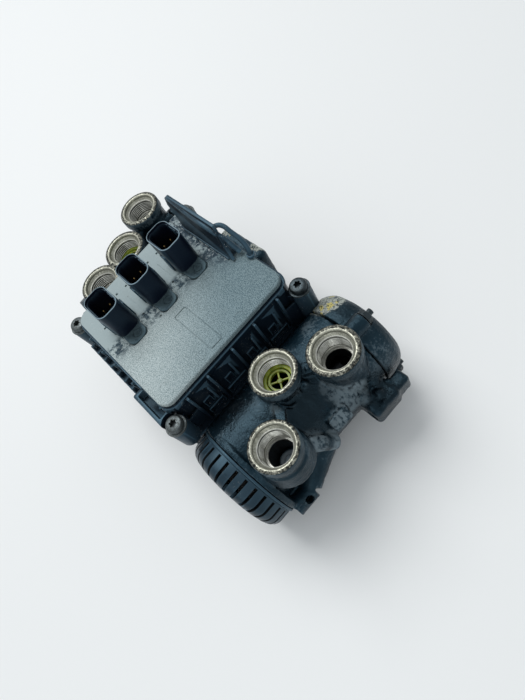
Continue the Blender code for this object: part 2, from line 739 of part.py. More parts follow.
def make_sensors():
    floor = DECK_TOP + GAP
    for number, (x, y) in enumerate(SENSOR_PLACES, 1):
        can = [(0, 72), (5.0, 72), (6.2, 70), (6.2, 56), (9.0, 56), (9.0, floor), (0, floor)]
        turned(f"pressure_sensor_{number}", can, (x, y, 0), UP, "steel", steps=20)


# --- relay valves --------------------------------------------------------------------------------------------


def make_relays():
    for side, x in RELAY_X.items():
        at = (x, 0, RELAY_Z)
        piston = [
            (0, 51.0),
            (19.0, 51.0),
            (PISTON_RADIUS, 49.8),
            (PISTON_RADIUS, 48.8),
            (PISTON_RADIUS - 2.4, 48.8),
            (PISTON_RADIUS - 2.4, 45.6),
            (PISTON_RADIUS, 45.6),
            (PISTON_RADIUS, 44.5),
            (10.0, 44.5),
            (6.5, 41.0),
            (6.5, 16.7),
            (0, 16.7),
        ]
        turned("relay_piston_" + side, piston, at, BACK, "aluminium", steps=20)
        seal = [(PISTON_RADIUS - 1.0 + 1.1 * cos(-k * pi / 3), 47.2 + 1.1 * sin(-k * pi / 3)) for k in range(6)]
        turned("piston_ring_" + side, seal, at, BACK, "rubber", steps=20)
        sleeve = [(12.0, 15.2), (12.0, 12.2), (7.5, 12.2), (7.5, -20.0), (5.0, -20.0), (5.0, 15.2)]
        turned("valve_sleeve_" + side, sleeve, at, BACK, "brass", steps=20)
        ring("valve_guide_" + side, 17.2, 7.8, -24.0, -10.0, at, BACK, "aluminium", steps=20)
        start, end = (x, -9.0, RELAY_Z), (x, 11.2, RELAY_Z)
        coil("valve_spring_" + side, 9.8, 0.7, start, end, 4, "steel", per_turn=9)


def make_strainers():
    """A ring with spokes in each supply port."""
    for letter, x, y, _, _ in (RIGHT_PORTS[0], LEFT_PORTS[1]):
        at = (x, y, 0)
        low, high = PORT_RIM - 15.7, PORT_RIM - 12
        strainer = ring(f"strainer_{letter}", 10.2, 7.4, low, high, at, UP, "strainer_plastic", 16)
        top = PORT_RIM - 12.6
        spokes = [
            web(
                f"spoke_{letter}_{angle}",
                (x - 8.8 * cos(radians(angle)), y - 8.8 * sin(radians(angle))),
                (x + 8.8 * cos(radians(angle)), y + 8.8 * sin(radians(angle))),
                1.2,
                PORT_RIM - 15.2,
                top,
            )
            for angle in (20, 80, 140)
        ]
        join(strainer, rod(f"strainer_hub_{letter}", 2.6, (x, y, PORT_RIM - 15.4), (x, y, PORT_RIM - 11.6), sides=16))
        join(strainer, *spokes)


def make_check_valve():
    """The loose disc of the non-return valve in port C."""
    _, x, y, _, end = RIGHT_PORTS[2]
    disc = [(0, end + 4.2), (3.5, end + 4.2), (4.5, end + 3.0), (7.6, end + 3.0), (7.6, end + GAP), (0, end + GAP)]
    turned("check_disc", disc, (x, y, 0), UP, "rubber", steps=24)


def main():
    make_valve_body()
    make_end_caps()
    make_silencer()
    make_exhaust_plug()
    make_housing()
    make_seal()
    make_lid()
    make_lid_screws()
    make_sockets()
    make_cable_guard()
    make_board()
    make_solenoids()
    make_sensors()
    make_relays()
    make_strainers()
    make_check_valve()


main()
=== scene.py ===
"""The looks of an electro-pneumatic modulator valve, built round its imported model.

Lengths are in millimetres in the model's own frame, and MM turns them into metres. Textures are
procedural and read object coordinates, which are metres.
"""

import json
from math import atan2, cos, pi, radians, sin

import bmesh
import bpy
from mathutils import Matrix, Vector


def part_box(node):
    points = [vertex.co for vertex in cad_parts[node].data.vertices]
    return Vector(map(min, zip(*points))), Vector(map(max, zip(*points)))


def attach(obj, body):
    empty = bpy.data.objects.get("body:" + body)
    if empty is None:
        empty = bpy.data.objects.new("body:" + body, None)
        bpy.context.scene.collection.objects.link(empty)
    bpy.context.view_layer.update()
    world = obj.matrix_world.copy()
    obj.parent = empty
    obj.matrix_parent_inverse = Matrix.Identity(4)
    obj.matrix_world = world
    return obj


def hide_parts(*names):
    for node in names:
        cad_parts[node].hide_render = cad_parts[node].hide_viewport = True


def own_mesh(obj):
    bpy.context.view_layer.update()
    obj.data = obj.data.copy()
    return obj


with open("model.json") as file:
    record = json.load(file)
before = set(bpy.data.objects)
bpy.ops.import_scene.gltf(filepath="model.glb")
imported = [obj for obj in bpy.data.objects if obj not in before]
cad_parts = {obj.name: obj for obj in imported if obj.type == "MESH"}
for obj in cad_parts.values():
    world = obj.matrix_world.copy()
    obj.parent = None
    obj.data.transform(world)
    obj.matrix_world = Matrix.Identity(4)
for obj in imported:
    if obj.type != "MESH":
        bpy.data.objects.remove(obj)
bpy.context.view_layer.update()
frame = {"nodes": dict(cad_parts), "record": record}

MM = 0.001
UP = Vector((0, 0, 1))
BACK = Vector((0, 1, 0))
OPENINGS = {item["name"]: item["box_m"] for item in frame["record"]["physics"]["openings"]}
RIM_RADIUS = {"a": 16.0, "b": 16.8, "c": 16.0, "d": 16.6, "e": 16.6, "f": 16.6}


def box(node):
    """Lowest and highest corner of a CAD node, in millimetres."""
    low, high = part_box(node)
    return low / MM, high / MM


def middle(node):
    low, high = box(node)
    return (low + high) / 2


def port_axis(letter):
    """A port's centre on the ground plan, and the height of its rim."""
    low, high = OPENINGS[f"port_{letter}_mouth"]
    return Vector(((low[0] + high[0]) / 2, (low[1] + high[1]) / 2, high[2])) / MM


PORTS = {letter: port_axis(letter) for letter in "abcdef"}
RELAYS = {side: middle(f"relay_piston_{side}") for side in ("right", "left")}
RELAY_Z = RELAYS["right"].z
BARRELS = {"right": Vector((90.0, 0.0, 42.0)), "left": Vector((-90.0, 0.0, 39.0))}
BARREL_RADIUS = {"right": 34.0, "left": 29.0}
CAP_START = {side: box(f"relay_cap_{side}")[0].y for side in RELAYS}
SCREWS = [middle(f"lid_screw_{number}") for number in (1, 2, 3, 4)]


# --- materials ---


COOL = (0.45, 0.78, 1.0, 1.0)  # the bluish cast of reflections on the black surfaces
LID_DUST_TOP = 99.5  # the dust on the lid reaches this high up the sockets
SOCKET_RIM = 124.0


class Finish:
    """A material whose nodes are added one after another."""

    def __init__(self, name, colour=(0.5, 0.5, 0.5), roughness=0.5, metallic=0.0, **others):
        self.material = bpy.data.materials.new(name)
        self.material.use_nodes = True
        self.tree = self.material.node_tree
        self.shader = self.tree.nodes["Principled BSDF"]
        self.place = self.tree.nodes.new("ShaderNodeTexCoord").outputs["Object"]
        self.set("Base Color", (*colour, 1.0))
        self.set("Roughness", roughness)
        self.set("Metallic", metallic)
        for key, value in others.items():
            self.set(key.replace("_", " "), value)

    def set(self, socket, value):
        put(self.tree, self.shader.inputs[socket], value)

    def add(self, kind, inputs, output=0, **settings):
        node = self.tree.nodes.new("ShaderNode" + kind)
        for key, value in settings.items():
            setattr(node, key, value)
        for key, value in inputs.items():
            put(self.tree, node.inputs[key], value)
        return node.outputs[output]

    def noise(self, size, detail=3.0, roughness=0.55, stretch=(1, 1, 1)):
        """Noise whose largest features are about size millimetres across."""
        place = self.place
        if stretch != (1, 1, 1):
            place = self.add("Mapping", {"Vector": place, "Scale": stretch})
        inputs = {"Vector": place, "Scale": 1 / (size * MM), "Detail": detail, "Roughness": roughness}
        return self.add("TexNoise", inputs)

    def ramp(self, value, start, end, low=0.0, high=1.0):
        inputs = {"Value": value, "From Min": start, "From Max": end, "To Min": low, "To Max": high}
        return self.add("MapRange", inputs, interpolation_type="SMOOTHSTEP")

    def maths(self, operation, first, second):
        return self.add("Math", {0: first, 1: second}, operation=operation)

    def plus(self, first, second):
        return self.maths("ADD", first, second)

    def minus(self, first, second):
        return self.maths("SUBTRACT", first, second)

    def times(self, first, second):
        return self.maths("MULTIPLY", first, second)

    def highest(self, first, second):
        return self.maths("MAXIMUM", first, second)

    def along(self, axis):
        """The distance along one axis of the frame, in metres."""
        return self.add("SeparateXYZ", {"Vector": self.place}, output=axis)

    def edges(self):
        """How sharp an outer edge is."""
        return self.add("NewGeometry", {}, output="Pointiness")

    def blend(self, share, first, second):
        """One colour going over into another."""
        first, second = ((*each, 1.0) if isinstance(each, tuple) else each for each in (first, second))
        return self.add("Mix", {0: share, 6: first, 7: second}, output=2, data_type="RGBA")

    def near(self, centre, reach):
        """1 at a place of the frame, falling to 0 at a distance."""
        inputs = {0: self.place, 1: Vector(centre) * MM}
        far = self.add("VectorMath", inputs, output="Value", operation="DISTANCE")
        return self.ramp(far, 0.0, reach * MM, 1.0, 0.0)

    def bump(self, *layers):
        """Bumps on bumps, each a height, its depth in millimetres and its strength."""
        normal = None
        for height, depth, strength in layers:
            inputs = {"Height": height, "Distance": depth * MM, "Strength": strength}
            if normal is not None:
                inputs["Normal"] = normal
            normal = self.add("Bump", inputs)
        self.set("Normal", normal)

    def done(self, colour, roughness, *layers):
        self.set("Base Color", colour)
        self.set("Roughness", roughness)
        self.bump(*layers)
        return self.material


def put(tree, socket, value):
    if isinstance(value, bpy.types.NodeSocket):
        tree.links.new(value, socket)
    else:
        socket.default_value = value


def cast_paint(name, wear=0.5, crusts=(), grease=(), bare=(), chipped_and_highlit=0.8):
    """Black paint on a sand casting: chalky where it is worn, greasy in places, with crusts of corrosion."""
    made = Finish(name, Specular_IOR_Level=0.36, Specular_Tint=COOL)
    patches, fine, grit = made.noise(22, 6), made.noise(1.7, 5, 0.6), made.noise(0.45, 3)
    rubbed_and_highlit = made.plus(made.times(patches, 0.62), made.times(fine, 0.38))
    worn = made.times(made.ramp(rubbed_and_highlit, 0.6 - 0.16 * wear, 0.68 - 0.14 * wear), 0.5)
    # sharp edges lightened in ragged bits: paint worn off the edges, and also a painted edge highlight
    edge = made.times(made.ramp(made.edges(), 0.52, 0.6), made.ramp(fine, 0.4, 0.62))
    worn = made.highest(worn, made.times(edge, chipped_and_highlit))
    streaks, scraped = made.noise(3.2, 5, 0.65, (1, 1, 0.45)), 0.0
    for centre, reach in bare:
        here = made.times(made.ramp(made.near(centre, reach), 0.1, 0.4), made.ramp(streaks, 0.36, 0.54))
        scraped = made.highest(scraped, here)
    paint = made.blend(made.ramp(patches, 0.35, 0.65), (0.002, 0.007, 0.011), (0.007, 0.02, 0.03))
    colour = made.blend(worn, paint, (0.135, 0.18, 0.205))
    if bare:
        colour = made.blend(scraped, colour, (0.15, 0.19, 0.21))
        worn = made.highest(worn, scraped)
    roughness = made.ramp(worn, 0.0, 1.0, 0.32, 0.66)
    for centre, reach in crusts:
        ragged = made.times(made.near(centre, reach), made.ramp(made.noise(4, 8, 0.78), 0.38, 0.54))
        crust = made.ramp(ragged, 0.12, 0.24)
        pale = made.blend(made.ramp(made.noise(6, 2), 0.58, 0.64), (0.36, 0.38, 0.34), (0.52, 0.45, 0.16))
        pale = made.blend(made.ramp(made.noise(1.3, 5, 0.7), 0.5, 0.4), pale, (0.035, 0.045, 0.045))
        colour = made.blend(crust, colour, pale)
        roughness = made.highest(roughness, made.times(crust, 0.95))
    for centre, reach in grease:
        wet = made.times(made.near(centre, reach), made.ramp(made.noise(7, 4), 0.26, 0.46))
        colour = made.blend(wet, colour, (0.003, 0.004, 0.005))
        roughness = made.times(roughness, made.minus(1.0, made.times(wet, 0.62)))
    return made.done(colour, roughness, (patches, 0.8, 0.4), (fine, 0.5, 0.75), (grit, 0.12, 0.5))


def moulded(name, dark, light, roughness, grain, grain_depth, dust=0.0, crest=None):
    """Moulded plastic with an even grain and faint flow marks, a painted highlight on its sharp edges, and
    perhaps dust, or a painted highlight along its rim's top with dust at its foot.
    """
    made = Finish(name, Specular_IOR_Level=0.34, Specular_Tint=COOL)
    flow, fine = made.noise(30, 4), made.noise(grain, 2)
    colour = made.blend(made.ramp(flow, 0.35, 0.65), dark, light)
    # painted highlight: sharp edges, found by their pointiness, are lightened to a bluish grey as if they
    # caught the light
    colour = made.blend(made.ramp(made.edges(), 0.512, 0.56, 0.0, 0.85), colour, (0.05, 0.095, 0.13))
    if dust:
        clumps = made.ramp(made.noise(16, 4), 0.46, 0.62)
        specks = made.ramp(made.noise(0.8, 2, 0.4), 0.66, 0.72)
        colour = made.blend(made.times(made.times(specks, clumps), dust), colour, (0.42, 0.44, 0.42))
        film = made.ramp(made.noise(14, 6, 0.65), 0.52, 0.74, 0.0, 0.2 * dust)
        colour = made.blend(film, colour, (0.09, 0.11, 0.12))
    if crest is not None:
        # painted highlight: the rim's top, within 0.4 mm of its crest, is lightened as if it caught the light
        height = made.along("Z")
        rubbed_and_highlit = made.ramp(height, (crest - 0.4) * MM, (crest - 0.15) * MM)
        colour = made.blend(rubbed_and_highlit, colour, (0.2, 0.27, 0.31))
        settled = made.ramp(height, LID_DUST_TOP * MM, (LID_DUST_TOP - 0.8) * MM)
        settled = made.times(settled, made.ramp(made.noise(3, 5), 0.3, 0.55, 0.5, 1.0))
        colour = made.blend(settled, colour, (0.06, 0.09, 0.1))
    sheen = made.ramp(made.noise(9, 5), 0.3, 0.7, roughness - 0.06, roughness + 0.08)
    return made.done(colour, sheen, (fine, grain_depth, 0.6), (flow, 0.3, 0.08))


def lid_finish():
    """Spark-grained plastic, paler to the front left as a painted reflection of the key light, dusty between
    the sockets, darker in a ragged band beside them, and near-black at the back edge in a painted shadow of
    the cable guard.
    """
    made = Finish("lid_plastic", Specular_IOR_Level=0.35, Specular_Tint=COOL)
    grain, flow = made.noise(0.55, 2, 0.6), made.noise(38, 4)
    ragged, flakes = made.noise(5, 6, 0.7), made.noise(1.6, 4, 0.7)
    across, along = made.along("X"), made.along("Y")
    # painted reflection: the lid is paler towards the front left, as if it faced the key light there
    lean = made.plus(made.times(across, -1.0), made.times(along, -1.2))
    pale = made.ramp(lean, -0.07, 0.04)
    low = made.blend(pale, (0.062, 0.096, 0.106), (0.22, 0.268, 0.266))
    high = made.blend(pale, (0.2, 0.262, 0.275), (0.49, 0.55, 0.54))
    colour = made.blend(made.ramp(made.plus(grain, made.times(flow, 0.08)), 0.44, 0.62), low, high)
    dusty = made.times(made.ramp(across, -0.0095, -0.0105), made.ramp(flakes, 0.3, 0.5, 0.45, 1.0))
    colour = made.blend(dusty, colour, (0.33, 0.39, 0.39))
    # darker in a ragged band across the sockets' feet
    dark_band = made.times(made.ramp(across, 0.006, -0.004), made.ramp(across, -0.016, -0.011))
    dark_band = made.times(dark_band, made.ramp(ragged, 0.42, 0.56))
    colour = made.blend(dark_band, colour, (0.03, 0.045, 0.055))
    # painted shadow of the cable guard: near-black along the lid's back edge, with pale crumbs scattered in
    # it
    guard_shadow = made.times(made.ramp(along, 0.03, 0.041), made.ramp(across, 0.022, 0.002))
    guard_shadow = made.times(guard_shadow, made.ramp(ragged, 0.36, 0.54))
    colour = made.blend(guard_shadow, colour, (0.012, 0.02, 0.03))
    crumbs = made.times(made.ramp(guard_shadow, 0.2, 0.6), made.ramp(flakes, 0.56, 0.62))
    colour = made.blend(crumbs, colour, (0.36, 0.39, 0.4))
    return made.done(colour, made.ramp(ragged, 0.3, 0.7, 0.5, 0.6), (grain, 0.12, 0.8), (flow, 0.3, 0.1))


def machined(name, colour, roughness=0.32, pits=0.0, lines=(1, 1, 12), shade_and_dirt=None):
    """Turned metal: fine lines round the axis, pits where it has weathered, and, from a per-vertex attribute,
    painted shade in thread roots and dirt on a rim's flat top.
    """
    made = Finish(name, colour, roughness, 1.0)
    streaks = made.noise(1.4, 3, 0.5, lines)
    spots = made.noise(1.1, 5, 0.72)
    stain = made.noise(6, 5, 0.6)
    tone = made.blend(made.ramp(stain, 0.3, 0.7), tuple(0.62 * part for part in colour), colour)
    if pits:
        dark = made.times(made.ramp(spots, 0.47, 0.6), pits)
        tone = made.blend(dark, tone, (0.03, 0.036, 0.03))
        made.set("Metallic", made.ramp(dark, 0.0, 1.0, 0.85, 0.2))
    if shade_and_dirt is not None:
        # painted shade darkens the thread roots; on the rim's flat top the same attribute holds real dirt
        depth = made.add("Attribute", {}, output="Fac", attribute_name="root_shade_and_dirt")
        ragged = made.times(made.minus(made.noise(1.6, 5, 0.7), 0.5), shade_and_dirt)
        dark = made.ramp(made.plus(depth, ragged), 0.3, 0.62)
        tone = made.blend(dark, tone, (0.018, 0.02, 0.018))
        made.set("Metallic", 0.6)
    sheen = made.ramp(spots, 0.3, 0.7, roughness - 0.08, roughness + 0.16)
    return made.done(tone, sheen, (streaks, 0.05, 0.35), (spots, 0.16, 0.3 + 0.5 * pits))


def rubber_finish():
    made = Finish("rubber")
    patchy = made.ramp(made.noise(5, 4), 0.3, 0.7, 0.6, 0.8)
    return made.done((0.018, 0.018, 0.019, 1.0), patchy, (made.noise(0.6, 4), 0.06, 0.5))


def strainer_finish():
    """Yellow-green nylon, a little translucent."""
    made = Finish("strainer_plastic", Subsurface_Weight=0.25, Subsurface_Scale=0.002)
    cloud = made.ramp(made.noise(4, 4), 0.3, 0.7)
    colour = made.blend(cloud, (0.17, 0.22, 0.02), (0.36, 0.43, 0.05))
    return made.done(colour, 0.42, (made.noise(0.8, 3), 0.05, 0.4))


def board_finish():
    made = Finish("circuit_board")
    tracks = made.add("TexBrick", {"Vector": made.place, "Scale": 260.0}, output="Fac")
    return made.done(made.blend(tracks, (0.012, 0.1, 0.035), (0.03, 0.22, 0.09)), 0.35, (tracks, 0.04, 0.6))


def winding_finish():
    made = Finish("coil_winding")
    turns = made.add("TexWave", {"Vector": made.place, "Scale": 900.0}, bands_direction="Z", output="Fac")
    return made.done(made.blend(turns, (0.07, 0.035, 0.02), (0.16, 0.08, 0.045)), 0.5, (turns, 0.1, 0.7))


def packing_finish():
    made = Finish("wire_packing", metallic=0.8)
    wires = made.add("TexVoronoi", {"Vector": made.place, "Scale": 1 / (1.1 * MM)})
    colour = made.blend(made.ramp(wires, 0.0, 0.5), (0.1, 0.1, 0.09), (0.02, 0.02, 0.02))
    return made.done(colour, 0.5, (wires, 0.8, 0.9))


def floor_finish():
    made = Finish("floor", (0.8, 0.815, 0.81), 0.55)
    made.bump((made.noise(60, 3), 0.3, 0.03))
    return made.material


# Places on the casting, each with the reach of its stain.
CRUSTS = [((73, 64, 73), 17), ((68, 60, 68), 12), ((-30, 70, 68), 12), ((0, 70, 71), 8)]
GREASE = [
    ((130, 44, 42), 30), ((106, 8, 70), 28), ((66, 10, 52), 36), ((98, -16, 66), 20), ((62, 40, 52), 26),
    ((80, -26, 66), 38), ((110, -2, 62), 24),
]
BARE = [
    ((121, 27, 56), 19), ((112, 22, 66), 12), ((123, -10, 58), 13), ((125, -2, 46), 11), ((98, -9, 72), 8),
    ((127, 12, 57), 12),
]
CAST = cast_paint("cast_black", 0.3, CRUSTS, GREASE, BARE)
NECK = cast_paint("worn_neck", 0.6, chipped_and_highlit=0.3)
HOUSING = moulded("housing_plastic", (0.004, 0.008, 0.014), (0.008, 0.014, 0.022), 0.36, 0.7, 0.05, 0.7)
LID = lid_finish()
SOCKET = moulded(
    "socket_plastic", (0.0025, 0.003, 0.008), (0.004, 0.006, 0.014), 0.36, 0.5, 0.03, crest=SOCKET_RIM
)
DISC = moulded("disc_plastic", (0.44, 0.52, 0.58), (0.52, 0.6, 0.66), 0.4, 0.6, 0.03)
DRUM = moulded("drum_plastic", (0.004, 0.008, 0.013), (0.012, 0.019, 0.027), 0.32, 0.8, 0.05, 0.15)
PLATE = moulded("plate_paint", (0.005, 0.01, 0.015), (0.01, 0.018, 0.026), 0.36, 0.8, 0.05, 0.1)
RIM = machined("port_rim", (0.52, 0.52, 0.43), 0.42, 0.45, (1, 1, 1), 1.3)
THREAD = machined("port_thread", (0.8, 0.8, 0.72), 0.36, 0.15, (1, 1, 12), 0.2)
# near-black painted shade for the insides of port bores and the side walls of the drum's slots
BORE_SHADE = Finish("bore", (0.004, 0.006, 0.007), 0.5).material
STEEL = machined("steel", (0.56, 0.56, 0.54), 0.28)
DARK_STEEL = machined("dark_steel", (0.045, 0.06, 0.068), 0.34, 0.3)
DUSTY_STEEL = machined("dusty_steel", (0.12, 0.14, 0.145), 0.44, 0.8)
STRAINER = strainer_finish()


# --- shapes ---


def show(obj):
    bpy.context.scene.collection.objects.link(obj)
    return obj


def link(name, bm, material=None):
    mesh = bpy.data.meshes.new(name)
    bm.to_mesh(mesh)
    bm.free()
    mesh.shade_smooth()
    mesh.set_sharp_from_angle(angle=radians(38))
    mesh.materials.append(material)
    return show(bpy.data.objects.new(name, mesh))


def bake(obj):
    """Applies the object's modifiers."""
    graph = bpy.context.evaluated_depsgraph_get()
    mesh = bpy.data.meshes.new_from_object(obj.evaluated_get(graph))
    obj.modifiers.clear()
    obj.data = mesh
    return obj


def sharpen(obj, angle=38):
    obj.data.shade_smooth()
    obj.data.set_sharp_from_angle(angle=radians(angle))
    return obj


def bevelled(obj, width, segments=3, angle=30):
    step = obj.modifiers.new("edge", "BEVEL")
    step.width = width * MM
    step.segments = segments
    step.limit_method = "ANGLE"
    step.angle_limit = radians(angle)
    return bake(obj)


def stand(obj, base, direction):
    """Turns the shape's own Z along direction, and moves its origin to base."""
    turn = UP.rotation_difference(Vector(direction)).to_matrix().to_4x4()
    obj.data.transform(Matrix.Translation(Vector(base) * MM) @ turn)
    return obj


def rod(radius, start, end, end_radius=None, sides=64, edge=0.0):
    way = Vector(end) - Vector(start)
    bm = bmesh.new()
    far = radius if end_radius is None else end_radius
    size = {"radius1": radius * MM, "radius2": far * MM, "depth": way.length * MM}
    shift = Matrix.Translation((0, 0, way.length * MM / 2))
    bmesh.ops.create_cone(bm, cap_ends=True, segments=sides, matrix=shift, **size)
    obj = stand(link("rod", bm), start, way)
    return bevelled(obj, edge) if edge else obj


def post(radius, at, bottom, top, sides=64, edge=0.0):
    """An upright rod at a place on the ground plan."""
    return rod(radius, (at.x, at.y, bottom), (at.x, at.y, top), sides=sides, edge=edge)


def block(low, high, corner=0.0, edge=0.0, steps=8, segments=3):
    low, high = Vector(low), Vector(high)
    bm = bmesh.new()
    bmesh.ops.create_cube(bm, size=MM)
    bmesh.ops.scale(bm, vec=high - low, verts=bm.verts)
    bmesh.ops.translate(bm, vec=(low + high) / 2 * MM, verts=bm.verts)
    if corner:
        upright = [e for e in bm.edges if abs(e.verts[0].co.z - e.verts[1].co.z) > MM / 10]
        bmesh.ops.bevel(bm, geom=upright, offset=corner * MM, segments=steps, profile=0.5, affect="EDGES")
    obj = link("block", bm)
    return bevelled(obj, edge, segments) if edge else obj


def level(radius, x, z, front, back, sides=64, edge=0.0):
    """A rod that lies along Y."""
    return rod(radius, (x, front, z), (x, back, z), sides=sides, edge=edge)


def slab(x, y, half_x, half_y, bottom, top, **shape):
    """A block round a place on the ground plan."""
    return block((x - half_x, y - half_y, bottom), (x + half_x, y + half_y, top), **shape)


def web(start, end, thickness, bottom, top, edge=0.0):
    """An upright wall between two places on the ground plan."""
    along = Vector((end[0] - start[0], end[1] - start[1]))
    obj = block((0, -thickness / 2, bottom), (along.length, thickness / 2, top), edge=edge)
    turn = Matrix.Rotation(-Vector((1, 0)).angle_signed(along), 4, "Z")
    obj.data.transform(Matrix.Translation(Vector((start[0], start[1], 0)) * MM) @ turn)
    return obj


def turned(profile, base, direction, steps=96, material=None, closed=False):
    """A turned shape from (radius, height) points; a closed profile makes a ring."""
    bm = bmesh.new()
    verts = [bm.verts.new((radius * MM, 0, height * MM)) for radius, height in profile]
    ends = list(zip(verts, verts[1:]))
    if closed:
        ends.append((verts[-1], verts[0]))
    edges = [bm.edges.new(pair) for pair in ends]
    about = {"cent": (0, 0, 0), "axis": (0, 0, 1), "angle": 2 * pi}
    bmesh.ops.spin(bm, geom=verts + edges, steps=steps, use_merge=True, **about)
    bmesh.ops.remove_doubles(bm, verts=bm.verts, dist=1e-7)
    bmesh.ops.recalc_face_normals(bm, faces=bm.faces)
    return stand(link("turned", bm, material), base, direction)


def hoop(outer, inner, low, high, base, direction, steps=96):
    """A turned ring with a rectangular section."""
    profile = [(outer, high), (outer, low), (inner, low), (inner, high)]
    return turned(profile, base, direction, steps, closed=True)


def tube(points, radius):
    """A round bar through the points, with a smooth run between them."""
    curve = bpy.data.curves.new("tube", "CURVE")
    curve.dimensions = "3D"
    curve.bevel_depth = radius * MM
    curve.bevel_resolution = 4
    curve.use_fill_caps = True
    curve.resolution_u = 8
    spline = curve.splines.new("BEZIER")
    spline.bezier_points.add(len(points) - 1)
    for knot, place in zip(spline.bezier_points, points):
        knot.co = Vector(place) * MM
        knot.handle_left_type = "AUTO"
        knot.handle_right_type = "AUTO"
    source = show(bpy.data.objects.new("tube", curve))
    graph = bpy.context.evaluated_depsgraph_get()
    bm = bmesh.new()
    bm.from_mesh(bpy.data.meshes.new_from_object(source.evaluated_get(graph)))
    bmesh.ops.remove_doubles(bm, verts=bm.verts, dist=1e-6)
    bmesh.ops.recalc_face_normals(bm, faces=bm.faces)
    bpy.data.objects.remove(source)
    return link("tube", bm)


def combine(target, operation, others):
    """Joins or cuts solids, and removes the others."""
    for other in others:
        step = target.modifiers.new("combine", "BOOLEAN")
        step.operation = operation
        step.solver = "MANIFOLD"
        step.object = other
    bake(target)
    for other in others:
        bpy.data.objects.remove(other)
    return target


def fuse(target, *others):
    return combine(target, "UNION", others)


def cut(target, *others):
    return combine(target, "DIFFERENCE", others)


def cast(parts, voxel, rounds, roughness, material):
    """Melts overlapping solids into one casting with filleted corners and a sandy skin."""
    bm = bmesh.new()
    for part in parts:
        bm.from_mesh(part.data)
        bpy.data.objects.remove(part)
    obj = link("casting", bm, material)
    melt = obj.modifiers.new("melt", "REMESH")
    melt.mode = "VOXEL"
    melt.voxel_size = voxel * MM
    soften = obj.modifiers.new("soften", "SMOOTH")
    soften.factor = 0.5
    soften.iterations = rounds
    for size, depth in ((7.0, roughness), (1.8, roughness * 0.45)):
        clouds = bpy.data.textures.new("sand", "CLOUDS")
        clouds.noise_scale = size * MM
        clouds.noise_depth = 2
        sand = obj.modifiers.new("sand", "DISPLACE")
        sand.texture = clouds
        sand.texture_coords = "LOCAL"
        sand.strength = depth * MM
        sand.mid_level = 0.75
    thin = obj.modifiers.new("thin", "DECIMATE")
    thin.ratio = 0.45
    return bake(obj)


def paint(obj, material):
    obj.data.materials.clear()
    obj.data.materials.append(material)
    return obj


def deliver(obj, name, slot, *replaced, body="housing", material=None, angle=38):
    """Finishes and names a piece, and puts it on its body in place of CAD nodes."""
    if material:
        paint(obj, material)
    if angle:
        sharpen(obj, angle)
    obj.name = name
    obj.data.name = name
    if name in frame["nodes"]:
        raise ValueError(name + " is a CAD node's name")
    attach(obj, body)
    if replaced:
        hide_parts(*replaced)


# --- cast body ---

CAP_ANGLES = {"right": (69, 208, 318), "left": (85, 205, 325)}
CAP_BOLT_RADIUS = {"right": 34.8, "left": 31.0}
CAP_LUG_LENGTH = {"right": 12.0, "left": 6.0}
BOLT_ENDS = {"right": (50.4, 44.6, 44.6), "left": (44.6, 44.6, 44.6)}
FRONT = -48.0
BORE_REACH = 8.9  # faces this near a port's axis are inside its bore


def around(side, angle, y):
    """A point on the circle of an end cap's bolts, with the angle in degrees from +X towards +Z."""
    centre, radius = BARRELS[side], CAP_BOLT_RADIUS[side]
    return Vector((centre.x + radius * cos(radians(angle)), y, centre.z + radius * sin(radians(angle))))


def lugs(side, front, back, radius):
    ends = [(around(side, angle, front), around(side, angle, back)) for angle in CAP_ANGLES[side]]
    return [rod(radius, *pair, sides=32) for pair in ends]


def lump(x, y, z, radius):
    """A blob of grease and dirt."""
    bm = bmesh.new()
    place = Matrix.Translation(Vector((x, y, z)) * MM)
    bmesh.ops.create_icosphere(bm, subdivisions=3, radius=radius * MM, matrix=place)
    return link("lump", bm)


LUMPS = [
    (118, 38, 47, 5), (124, 33, 44.6, 4.5), (131, 31, 43.6, 3.6), (135.4, 37, 43.5, 3.2), (129, 40, 44.2, 4),
    (122, 44, 46, 4.4), (134, 44, 42.6, 3.2), (128, 49, 42.4, 3), (133.6, 53, 42, 2.6),
    (130, 56.6, 42.2, 2.2), (136.4, 47, 37, 2.4), (136, 39, 34, 2.6), (120.5, 28, 46, 3.6),
    (98, 20.5, 77.4, 2.4), (95, 17, 77, 2.2), (101, 24.4, 77, 2), (97, -5, 74.6, 2), (103, -11, 74.2, 2.1),
    (84, -12, 72, 2.2), (80, -9.6, 70, 2.5), (93, -18, 70, 2.4), (101, 13, 74, 2.2), (86, 22, 72, 2.3),
    (96, 50.6, 74, 2.4), (101, 48, 72.6, 2.4),
]


def neck(letter):
    """The cast outside of one port, tapering into the body."""
    x, y, rim = PORTS[letter]
    radius = RIM_RADIUS[letter] - 1.0
    taper, foot = (44, 34.5) if letter == "b" else (58, 42)
    profile = [(0, rim - 1.5), (radius - 0.8, rim - 1.5), (radius, rim - 8), (radius - 0.2, taper)]
    profile += [(radius - 5, foot), (0, foot)]
    return turned(profile, (x, y, 0), UP, 14 if letter == "b" else 64)


def barrel(side):
    x, _, z = BARRELS[side]
    return level(BARREL_RADIUS[side] - 0.2, x, z, FRONT + 0.2, CAP_START[side] - 0.5, sides=128)


